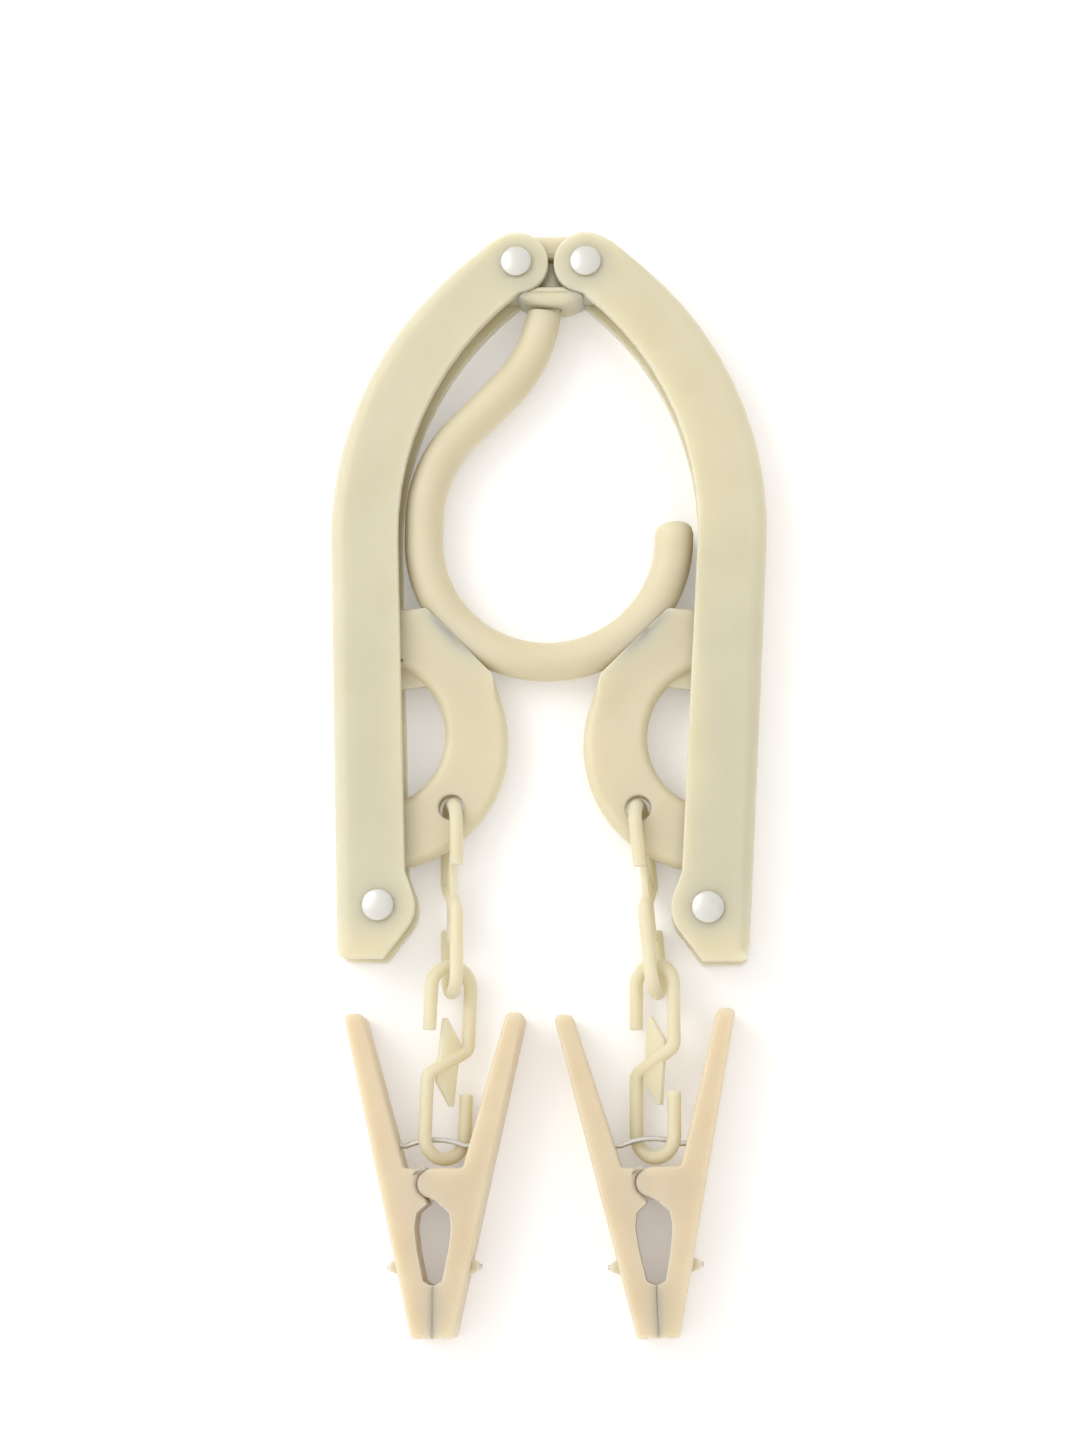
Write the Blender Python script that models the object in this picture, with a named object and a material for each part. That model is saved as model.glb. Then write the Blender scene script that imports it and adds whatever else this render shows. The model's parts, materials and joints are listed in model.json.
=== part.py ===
"""Folding travel clothes hanger with a hanging mini peg on each side, laid flat and folded up.

The hanger lies on its back: +Y runs towards the hub, +Z faces up out of the flat of the arms, and every
piece is symmetric about the middle plane between the arms' two walls. Metres throughout.
"""

import math

import bmesh
import bpy
from mathutils import Matrix, Vector

# Fits
FIT_GAP = 0.0003
PIN_GAP = 0.0002
OVERRUN = 0.0030

# Arms: a channel with an outer web and two walls, open towards the hook
ARM_DEPTH = 0.0096
ARM_WALL = 0.0018
ARM_WEB = 0.0016
ARM_OUTER_REACH = 0.0381
ARM_WIDTH = 0.0120
ARM_BELLY_DROP = 0.0482
ARM_CREST_REACH = 0.00635
ARM_CREST_RISE = 0.0030
ARM_THROAT_ANGLE = math.radians(-94.0)
ARM_LEAN = math.radians(2.5)
ARM_OUTER_FILLET = 0.0028
ARM_RIM_BEVEL = 0.0003
ARM_FOOT_BELOW_ELBOW = 0.0090
ARM_FOOT_CORNER = 0.0018
ARM_FOOT_INSET = 0.0009
ARM_OPEN_ANGLE = math.radians(110.0)

# Shoulder joint
SHOULDER_REACH = 0.00615
SHOULDER_EYE_RADIUS = 0.00565

# Elbow joint
ELBOW_DROP = 0.1146
ELBOW_EYE_RADIUS = 0.0062
ELBOW_TO_WEB = 0.0058
ELBOW_SHOULDER_RISE = 0.0060

# Rivets and their washers
RIVET_SHANK_RADIUS = 0.0013
RIVET_HEAD_RADIUS = 0.00272
RIVET_HEAD_HEIGHT = 0.0010
RIVET_HEAD_RIM = 0.00025
RIVET_TAIL_RADIUS = 0.0020
RIVET_TAIL_HEIGHT = 0.0005
RIVET_TAIL_BORE_RADIUS = 0.0007
RIVET_TAIL_BORE_DEPTH = 0.0020
WASHER_RADIUS = 0.0027
WASHER_THICKNESS = 0.0004
RIVET_SIDES = 20
RIVET_DOME_STEPS = 5

# Hub
HUB_EAR_RADIUS = 0.0056
HUB_EDGE_BEVEL = 0.0004
HUB_WINDOW_HALF_WIDTH = 0.0030
HUB_WINDOW_RISE = 0.0024
HUB_COLLAR_TOP_DROP = 0.0045
HUB_COLLAR_DROP = 0.0076
HUB_COLLAR_HALF_WIDTH = 0.0056
HUB_COLLAR_CURVE_RADIUS = 0.0121
HUB_COLLAR_FACE_SET_BACK = 0.0003
HUB_CROWN_BEVEL = 0.0012

# Hook
HOOK_TO_ARM_GAP = 0.0008
HOOK_RING_DROP = 0.0496
HOOK_ROD_RADIUS = 0.0034
HOOK_NECK_ROD_RADIUS = 0.00305
HOOK_TAPER_LENGTH = 0.0150
HOOK_STEM_BEND_RADIUS = 0.02536
HOOK_NECK_OFFSET = 0.00137
HOOK_STRAIGHT = 0.0103
HOOK_SIDE_BEND_RADIUS = 0.0231
HOOK_SIDE_BEND_DROP = 0.0460
HOOK_SEAT_GAP = 0.0009
HOOK_TIP_RISE = 0.0029
HOOK_TIP_ROUND = 0.0020
HOOK_SPIGOT_RADIUS = 0.0016
HOOK_SPIGOT_SINK = 0.0007
HOOK_HEAD_RADIUS = 0.0025
HOOK_HEAD_TOP_RADIUS = 0.0014
HOOK_HEAD_HEIGHT = 0.0028
HOOK_HEAD_LAND = 0.0008
HOOK_SIDES = 16
HOOK_STEP = 0.0042

# Forearms: a bar that folds into the arm's channel, with a crescent that carries the strand
BAR_WIDTH = 0.0072
BAR_INNER_MARGIN = 0.0010
BAR_CORNER = 0.0024
FOREARM_EYE_RADIUS = 0.0053
FOREARM_TOP_RISE = 0.0521
FOREARM_EDGE_BEVEL = 0.0004
CRESCENT_THICKNESS = 0.0042
CRESCENT_BEYOND_ELBOW = 0.0005
CRESCENT_RISE = 0.0283
CRESCENT_RADIUS = 0.0219
CRESCENT_EDGE_BEVEL = 0.0011
CRESCENT_HOOK_EDGE_BEVEL = 0.0004
CRESCENT_HOOK_GAP = 0.0005
CRESCENT_CORNER_RISE = 0.0511
CRESCENT_CORNER_RADIUS = 0.0100
CRESCENT_LIMB_RISE = 0.0071
WINDOW_BEYOND_ELBOW = 0.0006
WINDOW_RISE = 0.02985
WINDOW_HALF_WIDTH = 0.0110
WINDOW_HALF_HEIGHT = 0.0120
GUSSET_RADIUS = 0.0036
GUSSET_BEFORE_ELBOW = 0.0027
GUSSET_RISE = 0.0413
GUSSET_THICKNESS = 0.0022
STRAND_HOLE_BEFORE_ELBOW = 0.0118
STRAND_HOLE_RISE = 0.0173
STRAND_HOLE_RADIUS = 0.0022

# Chain links, each an S of rod with a barb tongue in each loop
LINK_ROD_RADIUS = 0.00115
LINK_HALF_WIDTH = 0.0037
LINK_HALF_LENGTH = 0.01615
LINK_CROSS_HALF_RISE = 0.0022
LINK_CROSS_BEND = 0.0017
LINK_FREE_END_RISE = 0.0052
LINK_BARB_LENGTH = 0.0074
LINK_BARB_TIP_WIDTH = 0.0007
LINK_BARB_STRAIGHT_SIDE = 0.0013
LINK_BARB_SWELL = 0.0021
LINK_BARB_SWELL_RISE = 0.0033
LINK_BARB_THICKNESS = 0.0012
LINK_SIDES = 10
LINK_ARC_STEPS = 8
LINK_PIN_RISE = 0.0007

# Pegs
PEG_DEPTH = 0.0096
PEG_PIVOT_RADIUS = 0.0024
PEG_PIVOT_SHIFT = 0.0003
PEG_HANDLE_RISE = 0.0282
PEG_HANDLE_OUTER = 0.0153
PEG_HANDLE_INNER = 0.0122
PEG_HANDLE_END_ROUND = 0.0009
PEG_SADDLE_RISE = 0.00255
PEG_SADDLE_HALF_WIDTH = 0.0049
PEG_SADDLE_FILLET = 0.0006
PEG_TIP_DROP = 0.0252
PEG_TIP_HALF_WIDTH = 0.0035
PEG_BAY_TOP_DROP = 0.0031
PEG_BAY_WIDEST_DROP = 0.0078
PEG_BAY_WIDEST_HALF_WIDTH = 0.0032
PEG_BAY_WAIST_DROP = 0.0112
PEG_BAY_WAIST_HALF_WIDTH = 0.0026
PEG_BAY_FOOT_DROP = 0.0150
PEG_BAY_FOOT_HALF_WIDTH = 0.0014
PEG_BAY_POINT_DROP = 0.0162
PEG_BAY_POINT_HALF_WIDTH = 0.0005
PEG_BAY_ARCH_STEPS = 5
PEG_EDGE_BEVEL = 0.0006
PEG_LIP_ANGLE = math.radians(112.0)
PEG_LUG_DROP = 0.0136
PEG_LUG_HALF_LENGTH = 0.0013
PEG_LUG_HEIGHT = 0.0014
PEG_LUG_HALF_DEPTH = 0.0021

# Peg springs: one bent wire in each peg
WIRE_RADIUS = 0.00045
WIRE_SLOT_HALF_WIDTH = 0.0008
WIRE_SLOT_DEPTH = 0.0017
WIRE_CROSSING_RISE = 0.0063
WIRE_ARCH_RISE = 0.0073
WIRE_BEND_RADIUS = 0.0012
WIRE_SIDES = 8

# How each strand happens to lie: turns are anticlockwise, seen from above
LINK_SLACK_LEFT = 0.0044
LINK_SLACK_RIGHT = 0.0049
UPPER_LINK_TILT_LEFT = math.radians(1.2)
UPPER_LINK_TILT_RIGHT = math.radians(6.2)
UPPER_LINK_SPIN_LEFT = math.radians(107.0)
UPPER_LINK_SPIN_RIGHT = math.radians(78.0)
LOWER_LINK_TILT_LEFT = math.radians(-1.3)
LOWER_LINK_TILT_RIGHT = math.radians(0.5)
LOWER_LINK_SPIN_LEFT = math.radians(31.0)
LOWER_LINK_SPIN_RIGHT = math.radians(-31.0)
PEG_TILT_LEFT = math.radians(0.9)
PEG_TILT_RIGHT = math.radians(2.8)
PEG_LINK_SIDE_SHIFT_LEFT = 0.0014
PEG_LINK_SIDE_SHIFT_RIGHT = 0.0007
PEG_LINK_SEAT_RISE = 0.0041

# Facets
ARC_STEP = math.radians(9.0)
WIDE_ARC_STEP = math.radians(5.0)
SMALL_ARC_STEP = math.radians(22.0)

MIDDLE = ARM_DEPTH / 2.0
BAR_THICKNESS = ARM_DEPTH - 2.0 * (ARM_WALL + FIT_GAP)
HUB_THICKNESS = BAR_THICKNESS
LEFT = -1
RIGHT = 1
SIDES = (("left", LEFT), ("right", RIGHT))


def clear_scene():
    for old in list(bpy.data.objects):
        bpy.data.objects.remove(old, do_unlink=True)


def plain_material(name, colour, roughness, metallic):
    material = bpy.data.materials.new(name)
    material.use_nodes = True
    shader = material.node_tree.nodes["Principled BSDF"]
    shader.inputs["Base Color"].default_value = (*colour, 1.0)
    shader.inputs["Roughness"].default_value = roughness
    shader.inputs["Metallic"].default_value = metallic
    return material


# Plane geometry


def point(x, y):
    return Vector((x, y))


def arc(centre, radius, start, end, step=ARC_STEP):
    """Points on a round stretch, both ends included."""
    count = max(2, math.ceil(abs(end - start) / step) + 1)
    angles = [start + (end - start) * i / (count - 1) for i in range(count)]
    return [centre + point(math.cos(a), math.sin(a)) * radius for a in angles]


def on_circle(centre, radius, angle):
    return centre + point(math.cos(angle), math.sin(angle)) * radius


def bulge_radius(belly, end):
    """The radius of an arc that runs straight down at its belly and passes through its end."""
    away = belly - end
    return away.length_squared / (2.0 * away.x)


def angle_to(centre, target):
    offset = target - centre
    return math.atan2(offset.y, offset.x)


def line_meets_circle(start, direction, centre, radius):
    """The far crossing of a line with a circle."""
    offset = start - centre
    half = offset.dot(direction)
    return start + direction * (-half + math.sqrt(half**2 - offset.length_squared + radius**2))


def circles_meet(first, first_radius, second, second_radius):
    """The crossing of two circles that lies on the left of the line from the second centre to the first."""
    line = first - second
    along = (second_radius**2 - first_radius**2 + line.length_squared) / (2.0 * line.length)
    direction = line.normalized()
    across = point(-direction.y, direction.x) * math.sqrt(second_radius**2 - along**2)
    return second + direction * along + across


def tangent_angle(centre, radius, outside, side):
    """The angle on a circle where a line from an outside point touches it."""
    spread = math.acos(radius / (outside - centre).length)
    return angle_to(centre, outside) + spread * side


def lines_meet(first, first_direction, second, second_direction):
    offset = second - first
    cross = first_direction.cross(second_direction)
    return first + first_direction * (offset.cross(second_direction) / cross)


def rounded(corner, before, after, radius, step=SMALL_ARC_STEP):
    """The round stretch that replaces a corner between two straight edges."""
    towards_before = (before - corner).normalized()
    towards_after = (after - corner).normalized()
    half = math.acos(max(-1.0, min(1.0, towards_before.dot(towards_after)))) / 2.0
    centre = corner + (towards_before + towards_after).normalized() * (radius / math.sin(half))
    start = angle_to(centre, corner + towards_before * (radius / math.tan(half)))
    end = angle_to(centre, corner + towards_after * (radius / math.tan(half)))
    while end - start > math.pi:
        end -= math.tau
    while start - end > math.pi:
        end += math.tau
    return arc(centre, radius, start, end, step)


def to_side(points, side):
    """The right-hand outline, or its mirror image for the left-hand piece."""
    return [point(p.x * side, p.y) for p in points]


def turned(offset, angle):
    return Matrix.Rotation(angle, 2) @ offset


# Solids


def new_object(name, shape, material, place, turn=0.0):
    """One finished piece, its origin on its joint's axis."""
    mesh = bpy.data.meshes.new(name)
    bmesh.ops.recalc_face_normals(shape, faces=shape.faces)
    shape.to_mesh(mesh)
    shape.free()
    piece = bpy.data.objects.new(name, mesh)
    bpy.context.collection.objects.link(piece)
    piece.location = place
    piece.rotation_euler = (0.0, 0.0, turn)
    if material is not None:
        mesh.materials.append(material)
    return piece


def slab(outline, low, high, bevels=()):
    """An outline raised between two heights; bevels are (width, steps, test on an edge's middle)."""
    shape = bmesh.new()
    bottom = [shape.verts.new((p.x, p.y, low)) for p in outline]
    face = shape.faces.new(bottom)
    raised = bmesh.ops.extrude_face_region(shape, geom=[face])
    top = [v for v in raised["geom"] if isinstance(v, bmesh.types.BMVert)]
    bmesh.ops.translate(shape, verts=top, vec=(0.0, 0.0, high - low))
    bmesh.ops.recalc_face_normals(shape, faces=shape.faces)
    rims = [e for e in shape.edges if abs(e.verts[0].co.z - e.verts[1].co.z) < (high - low) / 2.0]
    chosen = []
    for width, steps, test in bevels:
        picked = [e for e in rims if test((e.verts[0].co + e.verts[1].co) / 2.0)]
        rims = [e for e in rims if e not in picked]
        chosen.append((width, steps, picked))
    for width, steps, picked in chosen:
        alive = [e for e in picked if e.is_valid]
        bmesh.ops.bevel(shape, geom=alive, offset=width, segments=steps, profile=0.5, affect="EDGES")
    return shape


def everywhere(middle):
    return True


def turned_profile(profile, sides):
    """A closed profile of (radius, height) pairs turned round the Z axis; it starts and ends on the axis."""
    shape = bmesh.new()
    rings = []
    for radius, height in profile:
        if radius == 0.0:
            rings.append([shape.verts.new((0.0, 0.0, height))])
            continue
        ring = []
        for i in range(sides):
            angle = math.tau * i / sides
            ring.append(shape.verts.new((radius * math.cos(angle), radius * math.sin(angle), height)))
        rings.append(ring)
    for low, high in zip(rings, rings[1:]):
        join_rings(shape, low, high)
    return shape


def join_rings(shape, low, high):
    for i in range(max(len(low), len(high))):
        if len(low) == 1:
            corners = (low[0], high[i], high[(i + 1) % len(high)])
        elif len(high) == 1:
            corners = (low[i], high[0], low[(i + 1) % len(low)])
        else:
            corners = (low[i], high[i], high[(i + 1) % len(high)], low[(i + 1) % len(low)])
        shape.faces.new(corners)


def rod(path, radii, sides):
    """A round rod along a flat path of points in the XY plane, with flat ends."""
    shape = bmesh.new()
    rings = []
    for i, here in enumerate(path):
        before = path[max(i - 1, 0)]
        after = path[min(i + 1, len(path) - 1)]
        along = (after - before).normalized()
        across = point(-along.y, along.x)
        ring = []
        for k in range(sides):
            angle = math.tau * (k + 0.5) / sides
            flat = here + across * (radii[i] * math.cos(angle))
            ring.append(shape.verts.new((flat.x, flat.y, radii[i] * math.sin(angle))))
        rings.append(ring)
    for low, high in zip(rings, rings[1:]):
        join_rings(shape, low, high)
    shape.faces.new(rings[0])
    shape.faces.new(rings[-1])
    return shape


def cut(piece, cutter, operation="DIFFERENCE"):
    """Keeps the cutter as a hidden guide that moves with the piece."""
    cutter.hide_render = True
    cutter.display_type = "WIRE"
    step = piece.modifiers.new(cutter.name, "BOOLEAN")
    step.operation = operation
    step.object = cutter
    step.solver = "EXACT"


def pin_hole(name, place, radius, low, high, sides=RIVET_SIDES):
    shape = bmesh.new()
    bmesh.ops.create_cone(
        shape, cap_ends=True, segments=sides, radius1=radius, radius2=radius, depth=high - low
    )
    return new_object(name, shape, None, (place.x, place.y, (low + high) / 2.0))


def smooth(piece, angle=math.radians(35.0)):
    piece.data.shade_smooth()
    piece.data.set_sharp_from_angle(angle=angle)


# Places that several pieces share

SHOULDER = point(SHOULDER_REACH, 0.0)
ARM_CREST = SHOULDER + point(ARM_CREST_REACH, ARM_CREST_RISE)
ARM_THROAT = on_circle(SHOULDER, SHOULDER_EYE_RADIUS, ARM_THROAT_ANGLE)
ARM_OUTER_BELLY = point(ARM_OUTER_REACH, -ARM_BELLY_DROP)
ARM_INNER_BELLY = point(ARM_OUTER_REACH - ARM_WIDTH, -ARM_BELLY_DROP)
ARM_OUTER_RADIUS = bulge_radius(ARM_OUTER_BELLY, ARM_CREST)
ARM_INNER_RADIUS = bulge_radius(ARM_INNER_BELLY, ARM_THROAT)
ARM_OUTER_CENTRE = ARM_OUTER_BELLY - point(ARM_OUTER_RADIUS, 0.0)
ARM_INNER_CENTRE = ARM_INNER_BELLY - point(ARM_INNER_RADIUS, 0.0)
LEG_DOWN = point(-math.sin(ARM_LEAN), -math.cos(ARM_LEAN))
ARM_FOOT_Y = -ELBOW_DROP - ARM_FOOT_BELOW_ELBOW
CHANNEL_LOW = ARM_WALL
CHANNEL_HIGH = ARM_DEPTH - ARM_WALL


def leg_x(centre, radius, y):
    """The straight leg's edge at a height, carried on from the arc above it."""
    start = centre + point(math.cos(-ARM_LEAN), math.sin(-ARM_LEAN)) * radius
    return start.x + (y - start.y) * LEG_DOWN.x / LEG_DOWN.y


def web_inner_x(y):
    return leg_x(ARM_OUTER_CENTRE, ARM_OUTER_RADIUS - ARM_WEB, y)


ELBOW = point(web_inner_x(-ELBOW_DROP) - ELBOW_TO_WEB, -ELBOW_DROP)
HOOK_RING_CENTRE = point(0.0, -HOOK_RING_DROP)
HOOK_RING_RADIUS = ARM_OUTER_REACH - ARM_WIDTH - HOOK_TO_ARM_GAP - HOOK_ROD_RADIUS
STRAND_HOLE = point(ELBOW.x - STRAND_HOLE_BEFORE_ELBOW, STRAND_HOLE_RISE - ELBOW_DROP)


# Arms


def shoulder_leave_angle():
    """Where the arm's back leaves the round of its eye, on the straight line to its crest."""
    return tangent_angle(SHOULDER, SHOULDER_EYE_RADIUS, ARM_CREST, 1.0)


def arm_outline():
    foot_outer = point(leg_x(ARM_OUTER_CENTRE, ARM_OUTER_RADIUS, ARM_FOOT_Y), ARM_FOOT_Y)
    foot_inner = point(ELBOW.x - ARM_FOOT_INSET, ARM_FOOT_Y)
    leg_end_y = ELBOW.y + ELBOW_SHOULDER_RISE
    leg_end = point(leg_x(ARM_INNER_CENTRE, ARM_INNER_RADIUS, leg_end_y), leg_end_y)
    eye_low = tangent_angle(ELBOW, ELBOW_EYE_RADIUS, foot_inner, -1.0)
    eye_high = tangent_angle(ELBOW, ELBOW_EYE_RADIUS, leg_end, 1.0) - math.tau

    outline = arc(SHOULDER, SHOULDER_EYE_RADIUS, ARM_THROAT_ANGLE + math.tau, shoulder_leave_angle())
    outer_angle = angle_to(ARM_OUTER_CENTRE, ARM_CREST)
    outline += arc(ARM_OUTER_CENTRE, ARM_OUTER_RADIUS, outer_angle, -ARM_LEAN, WIDE_ARC_STEP)
    above_foot = foot_outer - LEG_DOWN * ARM_FOOT_CORNER
    outline += rounded(foot_outer, above_foot, foot_inner, ARM_FOOT_CORNER)
    outline += [foot_inner]
    outline += arc(ELBOW, ELBOW_EYE_RADIUS, eye_low, eye_high, math.radians(12.0))
    outline += [leg_end]
    inner_angle = angle_to(ARM_INNER_CENTRE, ARM_THROAT)
    outline += arc(ARM_INNER_CENTRE, ARM_INNER_RADIUS, -ARM_LEAN, inner_angle, WIDE_ARC_STEP)[:-1]
    return outline


def on_outer_edge(middle):
    """True along the outer arc, the outer leg and the round corner at the foot."""
    if middle.y > ARM_OUTER_CENTRE.y:
        distance = (Vector((abs(middle.x), middle.y)) - ARM_OUTER_CENTRE).length
        return distance > ARM_OUTER_RADIUS - ARM_WEB and abs(middle.x) > SHOULDER_REACH + SHOULDER_EYE_RADIUS
    return abs(middle.x) > web_inner_x(middle.y) and middle.y > ARM_FOOT_Y + ARM_FOOT_CORNER / 2.0


def web_start():
    """Where the web begins: open, its end face lies just above the hub's top edge."""
    stop_y = HUB_EAR_RADIUS + FIT_GAP
    leave = on_circle(SHOULDER, SHOULDER_EYE_RADIUS, shoulder_leave_angle())
    opened_leave = SHOULDER + turned(leave - SHOULDER, ARM_OPEN_ANGLE)
    opened = point(opened_leave.x, stop_y)
    return SHOULDER + turned(opened - SHOULDER, -ARM_OPEN_ANGLE)


def channel_outline():
    """Everything between the two walls that isn't web."""
    start = web_start()
    inward = turned(point(1.0, 0.0), -ARM_OPEN_ANGLE)
    web_radius = ARM_OUTER_RADIUS - ARM_WEB
    inner_start = line_meets_circle(start + inward * (ARM_WEB * 4.0), -inward, ARM_OUTER_CENTRE, web_radius)
    web_end_y = ELBOW.y - CRESCENT_LIMB_RISE + FIT_GAP
    far = SHOULDER_EYE_RADIUS + OVERRUN
    outline = [inner_start, start - inward * (ARM_WEB * 3.0)]
    clear_of_eye = 2.0 * far
    turn_back = math.radians(260.0)
    outline += arc(SHOULDER, clear_of_eye, angle_to(SHOULDER, outline[1]), turn_back, math.radians(30.0))
    outline += [point(-OVERRUN, ARM_INNER_CENTRE.y)]
    outline += [point(-OVERRUN, ARM_FOOT_Y - OVERRUN)]
    outline += [point(ARM_OUTER_REACH + OVERRUN, ARM_FOOT_Y - OVERRUN)]
    outline += [point(ARM_OUTER_REACH + OVERRUN, web_end_y), point(web_inner_x(web_end_y), web_end_y)]
    start_angle = angle_to(ARM_OUTER_CENTRE, inner_start)
    outline += arc(ARM_OUTER_CENTRE, web_radius, -ARM_LEAN, start_angle, WIDE_ARC_STEP)[:-1]
    return outline


def build_arm(side_name, side, plastic):
    edges = (
        (ARM_OUTER_FILLET, 4, on_outer_edge),
        (ARM_RIM_BEVEL, 1, everywhere),
    )
    pivot = point(SHOULDER.x * side, SHOULDER.y)
    shape = slab(to_side(arm_outline(), side), 0.0, ARM_DEPTH, edges)
    arm = joint_piece(side_name + "_arm", shape, plastic, pivot)
    channel = slab(to_side(channel_outline(), side), CHANNEL_LOW, CHANNEL_HIGH)
    cut(arm, new_object(side_name + "_channel", channel, None, (0.0, 0.0, 0.0)))
    bores = (("shoulder", SHOULDER), ("elbow", ELBOW))
    for bore_name, place in bores:
        centre = point(place.x * side, place.y)
        hole = pin_hole(
            side_name + "_" + bore_name + "_bore",
            centre,
            RIVET_SHANK_RADIUS + PIN_GAP,
            -OVERRUN,
            ARM_DEPTH + OVERRUN,
        )
        cut(arm, hole)
        recess = pin_hole(
            side_name + "_" + bore_name + "_recess",
            centre,
            WASHER_RADIUS + PIN_GAP,
            -OVERRUN,
            tail_recess_depth(),
        )
        cut(arm, recess)
    smooth(arm)
    return arm


def joint_piece(name, shape, material, pivot, turn=0.0):
    """Moves a shape drawn in place so that its object's origin is on the joint's axis."""
    bmesh.ops.translate(shape, verts=shape.verts, vec=(-pivot.x, -pivot.y, -MIDDLE))
    bmesh.ops.rotate(shape, verts=shape.verts, cent=(0.0, 0.0, 0.0), matrix=Matrix.Rotation(-turn, 3, "Z"))
    return new_object(name, shape, material, (pivot.x, pivot.y, MIDDLE), turn)


# Rivets


def tail_recess_depth():
    return RIVET_TAIL_HEIGHT + PIN_GAP + WASHER_THICKNESS + PIN_GAP


def build_rivet(name, place, steel):
    """A domed head on the front wall, a plain shank, and a hollow tail rolled over its washer."""
    head_low = ARM_DEPTH + PIN_GAP
    profile = [(0.0, head_low + RIVET_HEAD_HEIGHT)]
    dome = RIVET_HEAD_HEIGHT - RIVET_HEAD_RIM
    for i in range(1, RIVET_DOME_STEPS + 1):
        angle = math.pi / 2.0 * i / RIVET_DOME_STEPS
        radius = RIVET_HEAD_RADIUS * math.sin(angle)
        profile.append((radius, head_low + RIVET_HEAD_RIM + dome * math.cos(angle)))
    profile += [(RIVET_HEAD_RADIUS, head_low), (RIVET_SHANK_RADIUS, head_low)]
    profile += [(RIVET_SHANK_RADIUS, RIVET_TAIL_HEIGHT), (RIVET_TAIL_RADIUS, RIVET_TAIL_HEIGHT)]
    lip = (RIVET_TAIL_RADIUS + RIVET_TAIL_BORE_RADIUS) / 2.0
    profile += [(lip, 0.0), (RIVET_TAIL_BORE_RADIUS, RIVET_TAIL_HEIGHT / 2.0)]
    profile += [(RIVET_TAIL_BORE_RADIUS, RIVET_TAIL_BORE_DEPTH), (0.0, RIVET_TAIL_BORE_DEPTH)]
    rivet = new_object(name, turned_profile(profile, RIVET_SIDES), steel, (place.x, place.y, 0.0))
    smooth(rivet)
    return rivet


def build_washer(name, place, steel):
    low = RIVET_TAIL_HEIGHT + PIN_GAP
    inner = RIVET_SHANK_RADIUS + PIN_GAP
    high = low + WASHER_THICKNESS
    profile = [(inner, low), (WASHER_RADIUS, low), (WASHER_RADIUS, high), (inner, high), (inner, low)]
    shape = turned_profile(profile, RIVET_SIDES)
    bmesh.ops.remove_doubles(shape, verts=shape.verts, dist=WASHER_THICKNESS / 100.0)
    washer = new_object(name, shape, steel, (place.x, place.y, 0.0))
    smooth(washer)
    return washer


# Hub


def build_hub(plastic):
    """Two ears between the arms' walls, a full-depth collar below them, and a window for the hook's head."""
    left_ear = point(-SHOULDER.x, SHOULDER.y)
    ears = arc(SHOULDER, HUB_EAR_RADIUS, -math.pi / 2.0, math.pi / 2.0)
    ears += arc(left_ear, HUB_EAR_RADIUS, math.pi / 2.0, math.pi * 1.5)
    low = MIDDLE - HUB_THICKNESS / 2.0
    high = MIDDLE + HUB_THICKNESS / 2.0
    shape = slab(ears, low, high, ((HUB_EDGE_BEVEL, 1, everywhere),))
    hub = new_object("hub", shape, plastic, (0.0, 0.0, 0.0))

    collar = new_object(
        "collar",
        slab(
            collar_outline(),
            HUB_COLLAR_FACE_SET_BACK,
            ARM_DEPTH - HUB_COLLAR_FACE_SET_BACK,
            ((HUB_CROWN_BEVEL, 3, on_crown), (HUB_EDGE_BEVEL, 1, everywhere)),
        ),
        None,
        (0.0, 0.0, 0.0),
    )
    cut(hub, collar, "UNION")
    window = [
        point(-HUB_WINDOW_HALF_WIDTH, -HUB_COLLAR_TOP_DROP),
        point(HUB_WINDOW_HALF_WIDTH, -HUB_COLLAR_TOP_DROP),
        point(HUB_WINDOW_HALF_WIDTH, 0.0),
    ]
    window += arc(point(0.0, 0.0), HUB_WINDOW_HALF_WIDTH, 0.0, math.pi, SMALL_ARC_STEP)[1:]
    window = [point(p.x, min(p.y, HUB_WINDOW_RISE)) for p in window]
    cut(hub, new_object("head_window", slab(window, -OVERRUN, ARM_DEPTH + OVERRUN), None, (0.0, 0.0, 0.0)))
    spigot_bore = bmesh.new()
    bmesh.ops.create_cone(
        spigot_bore,
        cap_ends=True,
        segments=RIVET_SIDES,
        radius1=HOOK_SPIGOT_RADIUS + PIN_GAP,
        radius2=HOOK_SPIGOT_RADIUS + PIN_GAP,
        depth=HUB_COLLAR_DROP,
        matrix=Matrix.Rotation(math.pi / 2.0, 4, "X"),
    )
    bore_middle = (0.0, -HUB_COLLAR_TOP_DROP - HUB_COLLAR_DROP / 4.0, MIDDLE)
    cut(hub, new_object("spigot_bore", spigot_bore, None, bore_middle))
    for side_name, side in SIDES:
        centre = point(SHOULDER.x * side, SHOULDER.y)
        radius = RIVET_SHANK_RADIUS + PIN_GAP
        cut(hub, pin_hole(side_name + "_ear_bore", centre, radius, -OVERRUN, ARM_DEPTH + OVERRUN))
    smooth(hub)
    return hub


def crown_centre():
    return point(0.0, HUB_COLLAR_CURVE_RADIUS - HUB_COLLAR_DROP)


def on_crown(middle):
    """True along the collar's crowned lower edge."""
    away = point(middle.x, middle.y) - crown_centre()
    return away.y < 0.0 and away.length > HUB_COLLAR_CURVE_RADIUS - HUB_EDGE_BEVEL


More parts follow.
